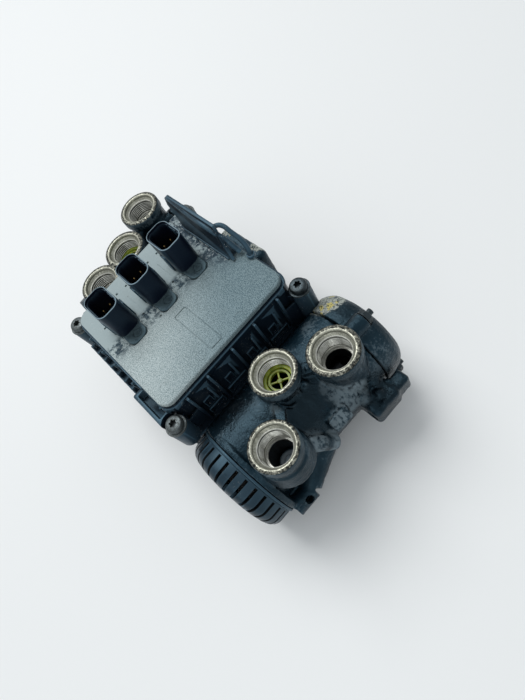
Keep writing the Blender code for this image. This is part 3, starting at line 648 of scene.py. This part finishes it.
def body_parts():
    right, left = RELAYS["right"], RELAYS["left"]
    pad = stand(block((-5.4, -7.4, 0), (5.4, 7.4, 18.6), edge=0.8), (110, 12, 47.5), (17.4, 0, 9.2))
    parts = [
        barrel("right"),
        barrel("left"),
        level(37.8, right.x, RELAY_Z, FRONT - 0.1, -43.6, sides=128),
        block((left.x, -43.8, 8.6), (right.x, 49.8, 46.3), edge=2),
        block((-39.8, -35.8, 0.3), (47.8, 37.8, 12), corner=8),
        block((-62.7, -60.7, 40), (65.7, 60.7, 49.8), corner=5),
        level(7.0, 129.2, 27.1, FRONT + 0.7, -30.8),
        rod(12.7, (114, -4, 34), (128, -31, 27.5), 7.5),
        tube([(118, -19, 66), (123.5, -11, 60), (125.5, -5, 52), (126, 0, 42)], 5.6),
        pad,
        rod(18.2, (118.5, -26.5, 62), (118.5, -26.5, 75), 16.3),
        web((88, 7), (106, 34), 7.9, 45, 78.8),
        web((89, 2), (115, -22), 6.9, 45, 76.1),
        web((-100, 36.5), (-84, 10), 7.8, 45, 78.4),
        web((-81.5, 4), (-75.5, -20), 7.8, 45, 79.2),
        block((-35.7, 59.3, 34.3), (9.7, 70.7, 72.7), edge=4),
        block((-32.8, 45, 37.8), (6.8, 62, 49.2), edge=1),
        block((112, 27.2, 29.3), (138.7, 49.8, 45.7), edge=3),
        block((126.6, 40, 30.5), (137.2, 60.2, 44.4), edge=2.5),
    ]
    seam = [(97, -9, 79.6), (104.6, -3, 74), (104.6, 7, 70), (101.4, 7, 76), (101.4, 12, 78.6)]
    parts += [rod(0.9, first, second, sides=12) for first, second in zip(seam, seam[1:])]
    parts += [post(7.1, at, 35, 49.9, sides=32) for at in SCREWS[:3]]
    parts += [neck(letter) for letter in PORTS]
    parts += [lump(*where) for where in LUMPS]
    for side in BARRELS:
        parts += lugs(side, 39, CAP_START[side] - 0.5, 6.3)
    return parts


def bore_cutter(letter):
    """Room for a port's machined metal, and the plain bore under it."""
    x, y, rim = PORTS[letter]
    end = {"a": 50, "b": 53, "c": 52, "d": 50, "e": 48, "f": 60}[letter]
    profile = [(0, rim + 4), (13.2, rim + 4), (13.2, rim - 17.4), (8.7, rim - 17.4), (8.5, end), (0, end)]
    return turned(profile, (x, y, 0), UP, 64)


def relay_cutter(side):
    profile = [(0, 57), (24, 57), (24, 18.5), (9.5, 18.5), (9.5, 15.5), (17.5, 15.5), (17.5, -52), (0, -52)]
    return turned(profile, (RELAYS[side].x, 0, RELAY_Z), BACK, 96)


def make_body():
    body = cast(body_parts(), 0.8, 3, 0.55, CAST)
    right = RELAYS["right"]
    cutters = [bore_cutter(letter) for letter in PORTS]
    cutters += [relay_cutter(side) for side in RELAYS]
    for side in RELAYS:
        for angle, end in zip(CAP_ANGLES[side], BOLT_ENDS[side]):
            cutters.append(rod(2.9, around(side, angle, end - 0.8), around(side, angle, 60), sides=32))
    cutters += [
        level(38.4, right.x, RELAY_Z, -90, -48.3, sides=96),
        block((40, -75, 50.3), (61.7, 58.6, 100)),
        level(3.5, 112.5, 53, -26.5, 24, sides=24),
        rod(6, (RELAYS["left"].x, -35, 37), (right.x, -35, 37), sides=32),
        level(3.4, 129.2, 27.1, -60, -20, sides=32),
        rod(3.1, (130.6, -36.8, 28), (142, -36.8, 35.3), sides=32),
        level(1.1, 133.4, 33.2, -60, -38, sides=24),
        level(4.2, 132.5, 37.5, 15, 70, sides=48),
        level(5, -12, 63, 40, 80, sides=32),
        block((-200, -200, -20), (200, 200, 0.05)),
    ]
    cutters += [post(7.5, at, 50.1, 100, sides=32) for at in SCREWS]
    cutters += [post(2.9, at, 38, 60, sides=24) for at in SCREWS[:3]]
    cutters += [rod(3.4, (x, y, -2), (x, y, 14), sides=24) for x in (-30, 38) for y in (-27, 29)]
    cut(body, *cutters)
    paint(body, CAST)
    body.data.materials.append(BORE_SHADE)
    # faces inside the port bores get the near-black painted shade
    for face in body.data.polygons:
        at = face.center / MM
        if at.z > 42 and any((at.xy - port.xy).length < BORE_REACH for port in PORTS.values()):
            face.material_index = 1
    deliver(body, "cast_body", "cast_black", "valve_body", angle=50)


def make_caps():
    hollow = [(20, 0.2), (16, 10), (0, 12)]
    right = [(0, 20.7), (23.8, 20.5), (29.4, 18.6), (31.7, 16.2), (33.4, 13.1), (34.8, 5.6), (34.8, 0.2)]
    left = [(0, 16.6), (15, 15.6), (20, 14.4), (25, 11.6), (28.6, 6), (28.6, 0.2)]
    domes = {"right": right, "left": left}
    for side, centre in BARRELS.items():
        start, length = CAP_START[side], CAP_LUG_LENGTH[side]
        parts = [turned(domes[side] + hollow, (centre.x, start, centre.z), BACK, 128)]
        parts += lugs(side, start + 0.3, start + length - 0.2, 6.3)
        cap = cast(parts, 0.6, 4, 0.5, CAST)
        cutters = lugs(side, start + length + 0.1, start + 30, 6.1) + lugs(side, start - 4, start + 30, 2.9)
        cutters += [post(8.1, at, 33.5, 100, sides=32) for at in SCREWS[:2]]
        cutters.append(block((40, -75, 50.3), (61.7, 58.6, 100)))
        if side == "left":
            cutters.append(post(RIM_RADIUS["d"] - 0.3, PORTS["d"], 45, 100, sides=48))
        cut(cap, *cutters)
        deliver(cap, "end_cap_" + side, "cast_black", "relay_cap_" + side, material=CAST, angle=50)


# --- ports ---

PITCH, THREAD_TOP, THREAD_LENGTH = 1.5, 3.9, 11.6
THREAD_RADIUS, THREAD_DEPTH = 10.6, 0.5
PORT_STEPS = 96


def port_rows(radius):
    """(radius, depth under the rim, thread share) of a port's section, round its closed outline."""
    outer = [(radius - 1.6, 7.4), (radius, 6.8), (radius, 1.5), (radius - 0.35, 0.6), (radius - 1.2, 0.05)]
    seat = [(14.0, 0.02), (13.6, 0.0), (12.9, 0.25), (12.6, 0.7), (12.6, 2.2), (12.3, 2.5), (11.2, 3.6)]
    count = 62
    thread = []
    for step in range(count + 1):
        depth = THREAD_TOP + THREAD_LENGTH * step / count
        share = min(1.0, 6 * step / count, 6 * (count - step) / count)
        thread.append((THREAD_RADIUS, depth, share))
    lip = [(10.2, 15.9), (8.9, 16.0), (8.6, 16.3), (8.6, 17.2), (13.0, 17.2), (13.0, 7.4)]
    return [(*row, 0.0) for row in outer + seat] + thread + [(*row, 0.0) for row in lip]


def land(reach, depth):
    """How much dirt the flat top of a rim holds, more towards its outside."""
    return min(0.52, 0.12 + reach - 13.6) if reach > 13.59 and depth < 2 else 0.05


def make_port(letter):
    """A port's machined rim, sealing seat and thread."""
    x, y, rim = PORTS[letter]
    radius = RIM_RADIUS[letter] - 0.05
    rows = port_rows(radius)
    bm = bmesh.new()
    root_shade_and_dirt = bm.verts.layers.float.new("root_shade_and_dirt")
    columns = []
    for column in range(PORT_STEPS):
        angle = 2 * pi * column / PORT_STEPS
        ring = []
        for reach, depth, share in rows:
            phase = (depth / PITCH + column / PORT_STEPS) % 1.0
            wave = share * (4 * abs(phase - 0.5) - 1)
            reach += THREAD_DEPTH * wave
            vert = bm.verts.new(Vector((x + reach * cos(angle), y + reach * sin(angle), rim - depth)) * MM)
            # thread roots get painted shade; rows off the thread get the dirt of the rim's flat top
            vert[root_shade_and_dirt] = 0.5 + 0.5 * wave if share else land(reach, depth)
            ring.append(vert)
        columns.append(ring)
    for first, second in zip(columns, columns[1:] + columns[:1]):
        for row in range(len(rows)):
            after = (row + 1) % len(rows)
            face = bm.faces.new((first[row], second[row], second[after], first[after]))
            depth = rows[row][1]
            face.material_index = 0 if row < 3 else 2 if depth > 3.5 else 1
    bmesh.ops.recalc_face_normals(bm, faces=bm.faces)
    obj = link("port", bm, NECK)
    obj.data.materials.append(RIM)
    obj.data.materials.append(THREAD)
    deliver(obj, "port_metal_" + letter, "cast_black", angle=40)


def make_strainer(letter):
    """Two nested rings on two crossed bars, with a hub in the middle."""
    node = "strainer_" + letter
    low, high = box(node)
    at = middle(node)
    x, y, bottom, top = at.x, at.y, low.z, high.z
    section = [(10.1, top - 0.3), (8.2, top - 0.3), (7.9, top - 0.9), (7.9, bottom), (10.1, bottom)]
    outer = turned(section, (x, y, 0), UP, closed=True)
    inner = hoop(7.2, 5.9, bottom + 0.2, top - 1.5, (x, y, 0), UP)
    hub = post(1.7, at, bottom + 0.1, top - 2.0, sides=32, edge=0.4)
    bars = []
    for angle in (58, 148):
        reach = Vector((cos(radians(angle)), sin(radians(angle)))) * 9.4
        bars.append(web(at.xy - reach, at.xy + reach, 1.1, bottom + 0.2, top - 2.4, 0.2))
    piece = fuse(bevelled(outer, 0.15, 2), inner, hub, *bars)
    deliver(piece, "strainer_basket_" + letter, "strainer_plastic", node, material=STRAINER)


def make_check_disc():
    low, high = box("check_disc")
    at = middle("check_disc")
    top, bottom = high.z, low.z
    profile = [(0, top - 0.5), (1.6, top - 0.1), (3.3, top), (4.6, top - 1.4), (6.4, top - 1.3)]
    profile += [(7.4, top - 1.6), (7.5, bottom + 0.5), (7.0, bottom), (0, bottom)]
    piece = turned(profile, (at.x, at.y, 0), UP, 64, DISC)
    deliver(piece, "check_valve_disc", "rubber", "check_disc", body="check_disc")


# --- silencer ---

SLOT_COUNT = 30


def make_silencer():
    axis = Vector((RELAYS["right"].x, 0, RELAY_Z))
    low, high = box("silencer_drum")
    front, back = low.y, high.y
    outer = (high.x - low.x) / 2
    rounding = [(0, 7.5), (0.5, 5.4), (1.7, 3.6), (3.2, 2.2), (5.2, 1.1), (8, 0.4), (12, 0)]
    dish = [(23.2, 0.8), (11, 0.8), (10.4, 0), (9, 0), (9, 2.6), (outer - 9, 3.0), (outer - 3, 7.5)]
    profile = [(outer, back), *((outer - inset, front + depth) for inset, depth in rounding)]
    profile += [*((reach, front + depth) for reach, depth in dish), (outer - 3, back)]
    drum = turned(profile, axis, BACK, 180, closed=True)
    slots = []
    for index in range(SLOT_COUNT):
        slot = block((outer - 6, front - 1, -1.1), (outer + 5, back - 1.0, 1.1), edge=0.3, segments=2)
        turn = Matrix.Rotation(2 * pi * index / SLOT_COUNT, 4, "Y")
        slot.data.transform(Matrix.Translation(axis * MM) @ turn)
        slots.append(slot)
    cut(drum, *slots)
    paint(bevelled(drum, 0.22, 2, 40), DRUM)
    drum.data.materials.append(BORE_SHADE)
    # the side walls of the slots get the near-black painted shade
    for face in drum.data.polygons:
        at = face.center / MM
        out = (at - axis) * Vector((1, 0, 1))
        sideways = abs(face.normal.cross(BACK).dot(out.normalized())) > 0.7
        if sideways and out.length < outer - 0.35 and at.y > front + 3:
            face.material_index = 1
    deliver(drum, "slotted_drum", "black_plastic", "silencer_drum")

    low, high = box("silencer_flange")
    reach = (high.x - low.x) / 2
    plate = bevelled(hoop(reach, 21, low.y, high.y, axis, BACK, 128), 0.3, 2)
    deliver(plate, "flange_plate", "cast_black", "silencer_flange", material=PLATE)

    low, high = box("silencer_screw")
    face = low.y + 3.2
    head = [(0, high.y), (3, high.y), (3, face), (8.3, face), (8.3, face - 1.6), (7.6, face - 2.4)]
    screw = turned(head + [(6.2, low.y + 0.1), (0, low.y + 0.1)], axis, BACK, 64)
    cut(screw, lobed(3.0, (axis.x, low.y - 1, axis.z), (axis.x, low.y + 2.2, axis.z)))
    deliver(screw, "drum_screw", "dark_steel", "silencer_screw", material=DARK_STEEL)


def lobed(radius, start, end):
    """A six-lobed prism, the shape of a star drive."""
    obj = rod(radius, start, end, sides=72)
    axis = (Vector(end) - Vector(start)).normalized()
    side = axis.orthogonal().normalized()
    other = axis.cross(side)
    base = Vector(start) * MM
    for vert in obj.data.vertices:
        along = (vert.co - base).dot(axis)
        flat = vert.co - base - axis * along
        turn = 6 * atan2(flat.dot(other), flat.dot(side))
        vert.co = base + axis * along + flat * (0.86 + 0.14 * cos(turn))
    return obj


def make_plug():
    centre = RELAYS["left"]
    low, high = box("exhaust_plug")
    reach = (high.x - low.x) / 2
    front, back = low.y, high.y
    profile = [(0, back), (17.2, back), (17.2, front + 4.7), (reach, front + 4.7), (reach, front + 0.8)]
    profile += [(reach - 0.8, front), (12, front), (11.3, front + 1.2), (0, front + 1.2)]
    plug = turned(profile, (centre.x, 0, centre.z), BACK, 96, CAST)
    deliver(plug, "barrel_plug", "cast_black", "exhaust_plug")


# --- screws ---


def make_lid_screws():
    for number, at in enumerate(SCREWS, 1):
        low, high = box(f"lid_screw_{number}")
        top, seat = high.z, high.z - 5.2
        profile = [(0, top), (4.3, top), (5.1, top - 0.3), (5.7, top - 1.2)]
        skirt = [(5.9, 1.4), (6.9, 1.35), (7.15, 1.1), (7.15, 0.2), (6.9, 0), (2.5, 0)]
        profile += [*((reach, seat + up) for reach, up in skirt), (2.5, low.z), (0, low.z)]
        screw = turned(profile, (at.x, at.y, 0), UP, 64)
        cut(screw, lobed(2.75, (at.x, at.y, seat + 2.0), (at.x, at.y, top + 1)))
        metal = DARK_STEEL if number == 1 else DUSTY_STEEL
        deliver(screw, f"star_screw_{number}", "dark_steel", f"lid_screw_{number}", material=metal, angle=35)


def make_cap_bolts():
    for side in RELAYS:
        for number in (1, 2, 3):
            node = f"cap_bolt_{side}_{number}"
            low, high = box(node)
            x, z = (low.x + high.x) / 2, (low.z + high.z) / 2
            stud = 3 if side == "right" else 0
            top, seat = high.y - stud, high.y - stud - 4
            dome = [(0, top), (3.6, top), (4.4, top - 0.3), (5.2, top - 1.1), (6, top - 3)]
            dome += [(6, seat), (0, seat)]
            hexagon = level(5.2, x, z, seat + 0.3, top + 0.5, sides=6)
            head = combine(turned(dome, (x, 0, z), BACK, 64), "INTERSECT", [hexagon])
            washer = turned([(0, seat + 1.0), (5.2, seat + 1.0), (5.3, seat), (0, seat)], (x, 0, z), BACK, 48)
            shank = level(2.5, x, z, seat + 0.5, low.y, sides=32)
            bolt = fuse(head, washer, shank)
            if stud:
                fuse(bolt, level(2.2, x, z, top - 0.6, high.y, sides=32, edge=0.4))
            name = f"hex_bolt_{side}_{number}"
            deliver(bolt, name, "dark_steel", node, material=DARK_STEEL, angle=30)


# --- electronics housing ---

LAST_BOSS_FOOT = 66.1  # the fourth screw boss stands clear of the barrel
SHELL_HALF_X, SHELL_HALF_Y = 12.2, 8.9
FOOT_TOP, FOOT_MARK_X = 98.8, -2.4
RIGHT_RIBS = (-40, -22, 0, 20, 41)
FRONT_RIBS = (-37, -20, -4, 18, 38)
FRONT_LEDGES = (-46, -28, -12, 8, 28)


def outline(low, high, depth, rim, axis):
    """A raised rectangular frame on a wall whose outward way is axis."""
    plate = block(low, high, edge=0.25, segments=2)
    grow = [rim, rim, rim]
    grow[axis] = -depth
    inner_low = [value + step for value, step in zip(low, grow)]
    inner_high = [value - step for value, step in zip(high, grow)]
    return cut(plate, block(inner_low, inner_high))


def wall_details(half_x, half_y, bottom, top):
    """Ribs, frames and ledges outside the housing's right and front walls."""
    side, front = half_x - 1, -half_y
    thin, soft = {"edge": 0.3, "segments": 2}, {"edge": 0.4, "segments": 2}
    rib = {"edge": 0.35, "segments": 2}
    parts = [slab(half_x + 0.75, y, 2.75, 0.9, bottom + 2, top - 1, **rib) for y in RIGHT_RIBS]
    for start, end in zip(RIGHT_RIBS, RIGHT_RIBS[1:]):
        centre = (start + end) / 2
        frames = [(start + 2.6, end - 2.6, 6, 13, 1.7, 1.3), (centre - 5, centre + 1, 15.5, 24, 1.5, 1.2)]
        for near, far, foot, head, proud, rim in frames:
            corners = (side, near, bottom + foot), (half_x + proud, far, bottom + head)
            parts.append(outline(*corners, 2, rim, 0))
        parts.append(slab(half_x + 0.35, centre + 3.7, 1.35, 0.7, bottom + 15, bottom + 31, edge=0.3))
    parts.append(block((side, front + 6, top - 4.2), (half_x + 0.9, half_y - 6, top - 0.2), edge=0.3))
    parts += [slab(x, front - 0.45, 0.8, 2.45, bottom + 2, top - 1, **thin) for x in FRONT_RIBS]
    for x in FRONT_LEDGES:
        parts.append(slab(x, front - 0.6, 4, 1.6, top - 16, top - 13.5, **soft))
        parts.append(slab(x, front - 0.6, 4, 1.6, bottom + 12, bottom + 14, **soft))
    parts.append(block((-49.8, -63.1, 72.6), (49.8, front + 2, 75.4), edge=0.5))
    parts += [block((x - 0.7, -62.4, 74), (x + 0.7, front + 2, 80), **thin) for x in range(-44, 24, 9)]
    return parts


def make_housing():
    half_x, half_y = 56.0, 55.0
    low, high = box("electronics_housing")
    bottom, top = low.z + 0.05, high.z - 0.05
    housing = slab(0, 0, half_x, half_y, bottom, top, corner=9, edge=0.5, steps=12)
    flange = block((-57, -58, bottom), (61, 58, bottom + 4.9), corner=4, edge=0.8)
    parts = [flange, slab(0, 0, half_x + 0.8, half_y + 0.8, top - 3, top, corner=9.5, edge=0.4)]
    for number, at in enumerate(SCREWS):
        foot = bottom if number < 3 else LAST_BOSS_FOOT
        parts.append(post(6.9, at, foot, high.z - 9, edge=0.5))
        parts.append(web(at.xy, at.xy * 0.8, 4.8, foot, high.z - 12.2, 0.4))
        parts.append(web(at.xy, (at.x * 0.96, at.y * 0.7), 1.6, foot, high.z - 16, 0.3))
    parts += wall_details(half_x, half_y, bottom, top)
    parts.append(block((24.1, -63.1, 84.1), (57.9, -half_y + 2, 90.9), corner=1.5, edge=0.7))
    fuse(housing, *parts)
    cutters = [
        slab(0, 0, 53.5, 52.5, 83.7, 100, corner=7),
        slab(0, 0, 50.5, 49.5, 40, 90, corner=5),
        block((27, -60.7, 80), (52, -54.9, 95), corner=1.2),
        level(37.6, RELAYS["right"].x, RELAY_Z, -90, -48.1, sides=96),
    ]
    cutters += [post(3.1, at, 39, 100, sides=32) for at in SCREWS]
    cutters += [post(7.8, at, high.z - 9.1, 110) for at in SCREWS]
    cut(housing, *cutters)
    deliver(housing, "housing_shell", "black_plastic", "electronics_housing", material=HOUSING, angle=32)


def make_lid():
    low, high = box("housing_lid")
    top = high.z
    lid = block(low, high, corner=8, edge=0.9, steps=12, segments=4)
    step = block((-70, -70, top - 1.2), (-2, 42.5, top + 5), edge=0.4)
    border = block((11.5, -8.6, top - 0.55), (51, 1.8, top + 2), corner=1.6)
    cut(border, block((12.2, -7.9, top - 2), (50.3, 1.1, top + 4), corner=1.2))
    marks = [(50, 44), (7.3, 26.5), (50, 18), (48, -15.5), (44, -44), (10, -42)]
    rings = [hoop(3.5, 3.15, top - 0.14, top + 1, (x, y, 0), UP, 48) for x, y in marks]
    cutters = [step, border, *rings, rod(0.9, (1.7, -13, top - 2), (1.7, -13, top + 2), sides=24)]
    floor = top - 1.2
    notches = [(-42.4, 18), (-42.6, 9), (-42.6, -13.3), (-43.4, -21.9), (-29, -44.3), (-12, 9.4)]
    cutters += [slab(x, y, 0.8, 0.8, floor - 1.2, top + 1) for x, y in [*notches, (-12, -19.6)]]
    lines = [(-50, -42.9, -4.9, -42.5, top + 1), (-5.1, -49, -4.7, -42.5, top + 1)]
    for y in (12.2, -18):
        lines += [(-34, y - 0.2, -10, y + 0.2, top), (-10.2, y - 4, -9.8, y + 3.4, top)]
    cutters += [block((x, y, floor - 0.35), (far_x, far_y, end)) for x, y, far_x, far_y, end in lines]
    for node in ("socket_1", "socket_2", "socket_3"):
        y = middle(node).y
        cutters.append(block((-13, y - 7.8, floor), (box(node)[1].x + 0.3, y + 7.8, top + 5), corner=3.9))
    cut(lid, *cutters)
    deliver(lid, "grained_lid", "lid_plastic", "housing_lid", material=LID, angle=30)


def make_sockets():
    for number in (1, 2, 3):
        node = f"socket_{number}"
        low, high = box(node)
        y, floor, rim = middle(node).y, low.z, high.z
        x = low.x + SHELL_HALF_X
        shell = slab(x, y, SHELL_HALF_X, SHELL_HALF_Y, floor, rim, corner=6, edge=0.45, steps=12)
        foot = block((x + 6, y - 7.5, floor), (high.x, y + 7.5, FOOT_TOP), corner=5.5, edge=0.5)
        place = (FOOT_MARK_X, y + 1.2, 0)
        ring = hoop(3.4, 2.9, FOOT_TOP - 0.35, FOOT_TOP + 0.7, place, UP, 48)
        dot = post(1.0, Vector(place), FOOT_TOP - 0.4, FOOT_TOP + 0.7, sides=6)
        sides = (y - SHELL_HALF_Y, y + SHELL_HALF_Y)
        fuse(shell, foot, *(slab(x, place, 2.9, 0.95, floor, floor + 14.8, edge=0.4) for place in sides))
        room = slab(x, y, SHELL_HALF_X - 1.5, 7.4, floor + 4, rim + 5, corner=4.6, steps=12)
        grooves = [slab(x + 4.4 * side, y + 7.45, 0.9, 0.45, floor + 9, rim + 2) for side in (-1, 1)]
        mouth = slab(x, y, SHELL_HALF_X - 0.6, 8.3, rim - 1.6, rim + 5, corner=5.4, steps=12)
        cut(shell, room, mouth, ring, dot, *grooves)
        deliver(shell, f"socket_shell_{number}", "socket_plastic", node, material=SOCKET, angle=32)


def make_guard():
    """A leaning fin with a round upper edge, which ends in a loop."""
    bottom = box("cable_guard")[0].z
    foot_y, lean = 43.5, 0.34
    shape = [(-52.5, 12.4), (-54.2, 17), (-51.6, 19.0), (0.6, 19.0), (17.2, 0.9), (-37, 0.9)]
    bm = bmesh.new()
    face = bm.faces.new([bm.verts.new(Vector((x, foot_y + lean * up, bottom + up)) * MM) for x, up in shape])
    grown = bmesh.ops.extrude_face_region(bm, geom=[face])
    moved = [item for item in grown["geom"] if isinstance(item, bmesh.types.BMVert)]
    bmesh.ops.translate(bm, vec=(0, 2.3 * MM, 0), verts=moved)
    bmesh.ops.recalc_face_normals(bm, faces=bm.faces)
    fin = bevelled(link("fin", bm), 0.35, 2)
    ledge_y = foot_y + lean * 17.5 + 1.4
    bar = [(-51, ledge_y, bottom + 17.2), (-26, ledge_y - 1.6, bottom + 15.6), (0, ledge_y - 2, bottom + 15)]
    ledge = tube([*bar, (8.6, 50.6, bottom + 8.8), (17, 51.6, bottom + 1.7)], 1.9)
    far_bar = [(-1.5, ledge_y, bottom + 16.6), (3, 54.6, bottom + 16.9), (11, 55.6, bottom + 13.6)]
    loop = tube([*far_bar, (18.4, 55.9, bottom + 9.4), (22.8, 55, bottom + 5), (24, 54, bottom + 1.4)], 1.65)
    eyelet = hoop(2.9, 1.5, bottom, bottom + 2.2, (24.6, 53.9, 0), UP, 40)
    base = block((-38, 42.9, bottom + 0.05), (13, 52.4, bottom + 1.2), corner=1.0, edge=0.4)
    fuse(fin, base, ledge, loop, bevelled(eyelet, 0.3, 2))
    deliver(fin, "guard_fin", "black_plastic", "cable_guard", material=HOUSING, angle=35)


# --- pieces that keep their CAD shape ---

KEPT = {
    "steel": STEEL,
    "dark_steel": DARK_STEEL,
    # painted shade: brass darkened far below clean brass, because the contacts sit deep in the socket mouths
    "brass": machined("brass", (0.2, 0.14, 0.06), 0.42),
    "aluminium": machined("aluminium", (0.1, 0.11, 0.12), 0.42),
    "rubber": rubber_finish(),
    "board": board_finish(),
    "copper_coil": winding_finish(),
    "wire_packing": packing_finish(),
}


# The fixed end and the travel of each kind of spring, along its axis.
ARMATURE_SPRING_TOP, ARMATURE_TRAVEL = 69.2, 1.5
VALVE_SPRING_FRONT, SLEEVE_TRAVEL = -9.0, 2.2


def make_spring(node, joint, axis, fixed, free, travel):
    """A spring as a copy of its CAD solid, in steel, put in place of its node."""
    spring = show(bpy.data.objects.new(node + "_coil", frame["nodes"][node].data.copy()))
    name = node.replace("spring", "coil")
    deliver(spring, name, "steel", node, material=STEEL, angle=None)
    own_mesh(spring)


def make_springs():
    for number in (1, 2, 3, 4):
        node = f"armature_spring_{number}"
        at = middle(node)
        ends = Vector((at.x, at.y, ARMATURE_SPRING_TOP)), Vector((at.x, at.y, box(node)[0].z))
        make_spring(node, f"armature_slide_{number}", UP, *ends, ARMATURE_TRAVEL)
    for side in RELAYS:
        node = "valve_spring_" + side
        at = middle(node)
        ends = Vector((at.x, VALVE_SPRING_FRONT, at.z)), Vector((at.x, box(node)[1].y, at.z))
        make_spring(node, "valve_sleeve_slide_" + side, BACK, *ends, SLEEVE_TRAVEL)


def finish_kept_nodes():
    slots = {part["node"]: part["material_slot"] for part in frame["record"]["subparts"]}
    for name, node in frame["nodes"].items():
        if not node.hide_render:
            node.data.materials.clear()
            node.data.materials.append(KEPT[slots[name]])


# --- camera, light and floor ---

CAMERA_LENS = 27.32
SKY_STRENGTH = 0.53
CAMERA_PLACE = Vector((0.2437, -0.0183, 0.3553))
CAMERA_RIGHT = Vector((0.6624, 0.6615, -0.3517))
CAMERA_LOOK = Vector((-0.5382, 0.0937, -0.8376))


def add_camera():
    camera = show(bpy.data.objects.new("camera", bpy.data.cameras.new("camera")))
    look = CAMERA_LOOK.normalized()
    right = (CAMERA_RIGHT - look * CAMERA_RIGHT.dot(look)).normalized()
    turn = Matrix((right, right.cross(look), -look)).transposed()
    camera.matrix_world = Matrix.Translation(CAMERA_PLACE) @ turn.to_4x4()
    camera.data.lens = CAMERA_LENS
    camera.data.sensor_width = 36.0
    camera.data.clip_start = 0.01
    bpy.context.scene.camera = camera


def add_light(name, place, size, power, colour=(1, 1, 1)):
    """A square light that faces the object."""
    lamp = bpy.data.lights.new(name, "AREA")
    lamp.size = size
    lamp.energy = power
    lamp.color = colour
    light = show(bpy.data.objects.new(name, lamp))
    light.location = place
    light.rotation_euler = (Vector((0, 0, 0.05)) - Vector(place)).to_track_quat("-Z", "Y").to_euler()


def add_studio():
    """A pale floor under an even sky, with a large key light and a weak fill."""
    bm = bmesh.new()
    bmesh.ops.create_grid(bm, x_segments=8, y_segments=8, size=3.0)
    floor = link("floor", bm, floor_finish())
    world = bpy.data.worlds.new("studio")
    bpy.context.scene.world = world
    world.use_nodes = True
    sky = world.node_tree.nodes["Background"]
    sky.inputs["Color"].default_value = (0.92, 0.96, 1.0, 1.0)
    sky.inputs["Strength"].default_value = SKY_STRENGTH
    add_light("key", (-1.2, 0.1, 2.1), 1.5, 36.0)
    add_light("fill", (0.75, -0.65, 0.7), 0.9, 2.2, (0.95, 0.98, 1.0))
    bpy.context.scene.view_settings.view_transform = "Standard"


def main():
    add_camera()
    add_studio()
    make_body()
    make_caps()
    for letter in PORTS:
        make_port(letter)
    make_strainer("a")
    make_strainer("e")
    make_check_disc()
    make_silencer()
    make_plug()
    make_lid_screws()
    make_cap_bolts()
    make_housing()
    make_lid()
    make_sockets()
    make_guard()
    make_springs()
    finish_kept_nodes()


main()
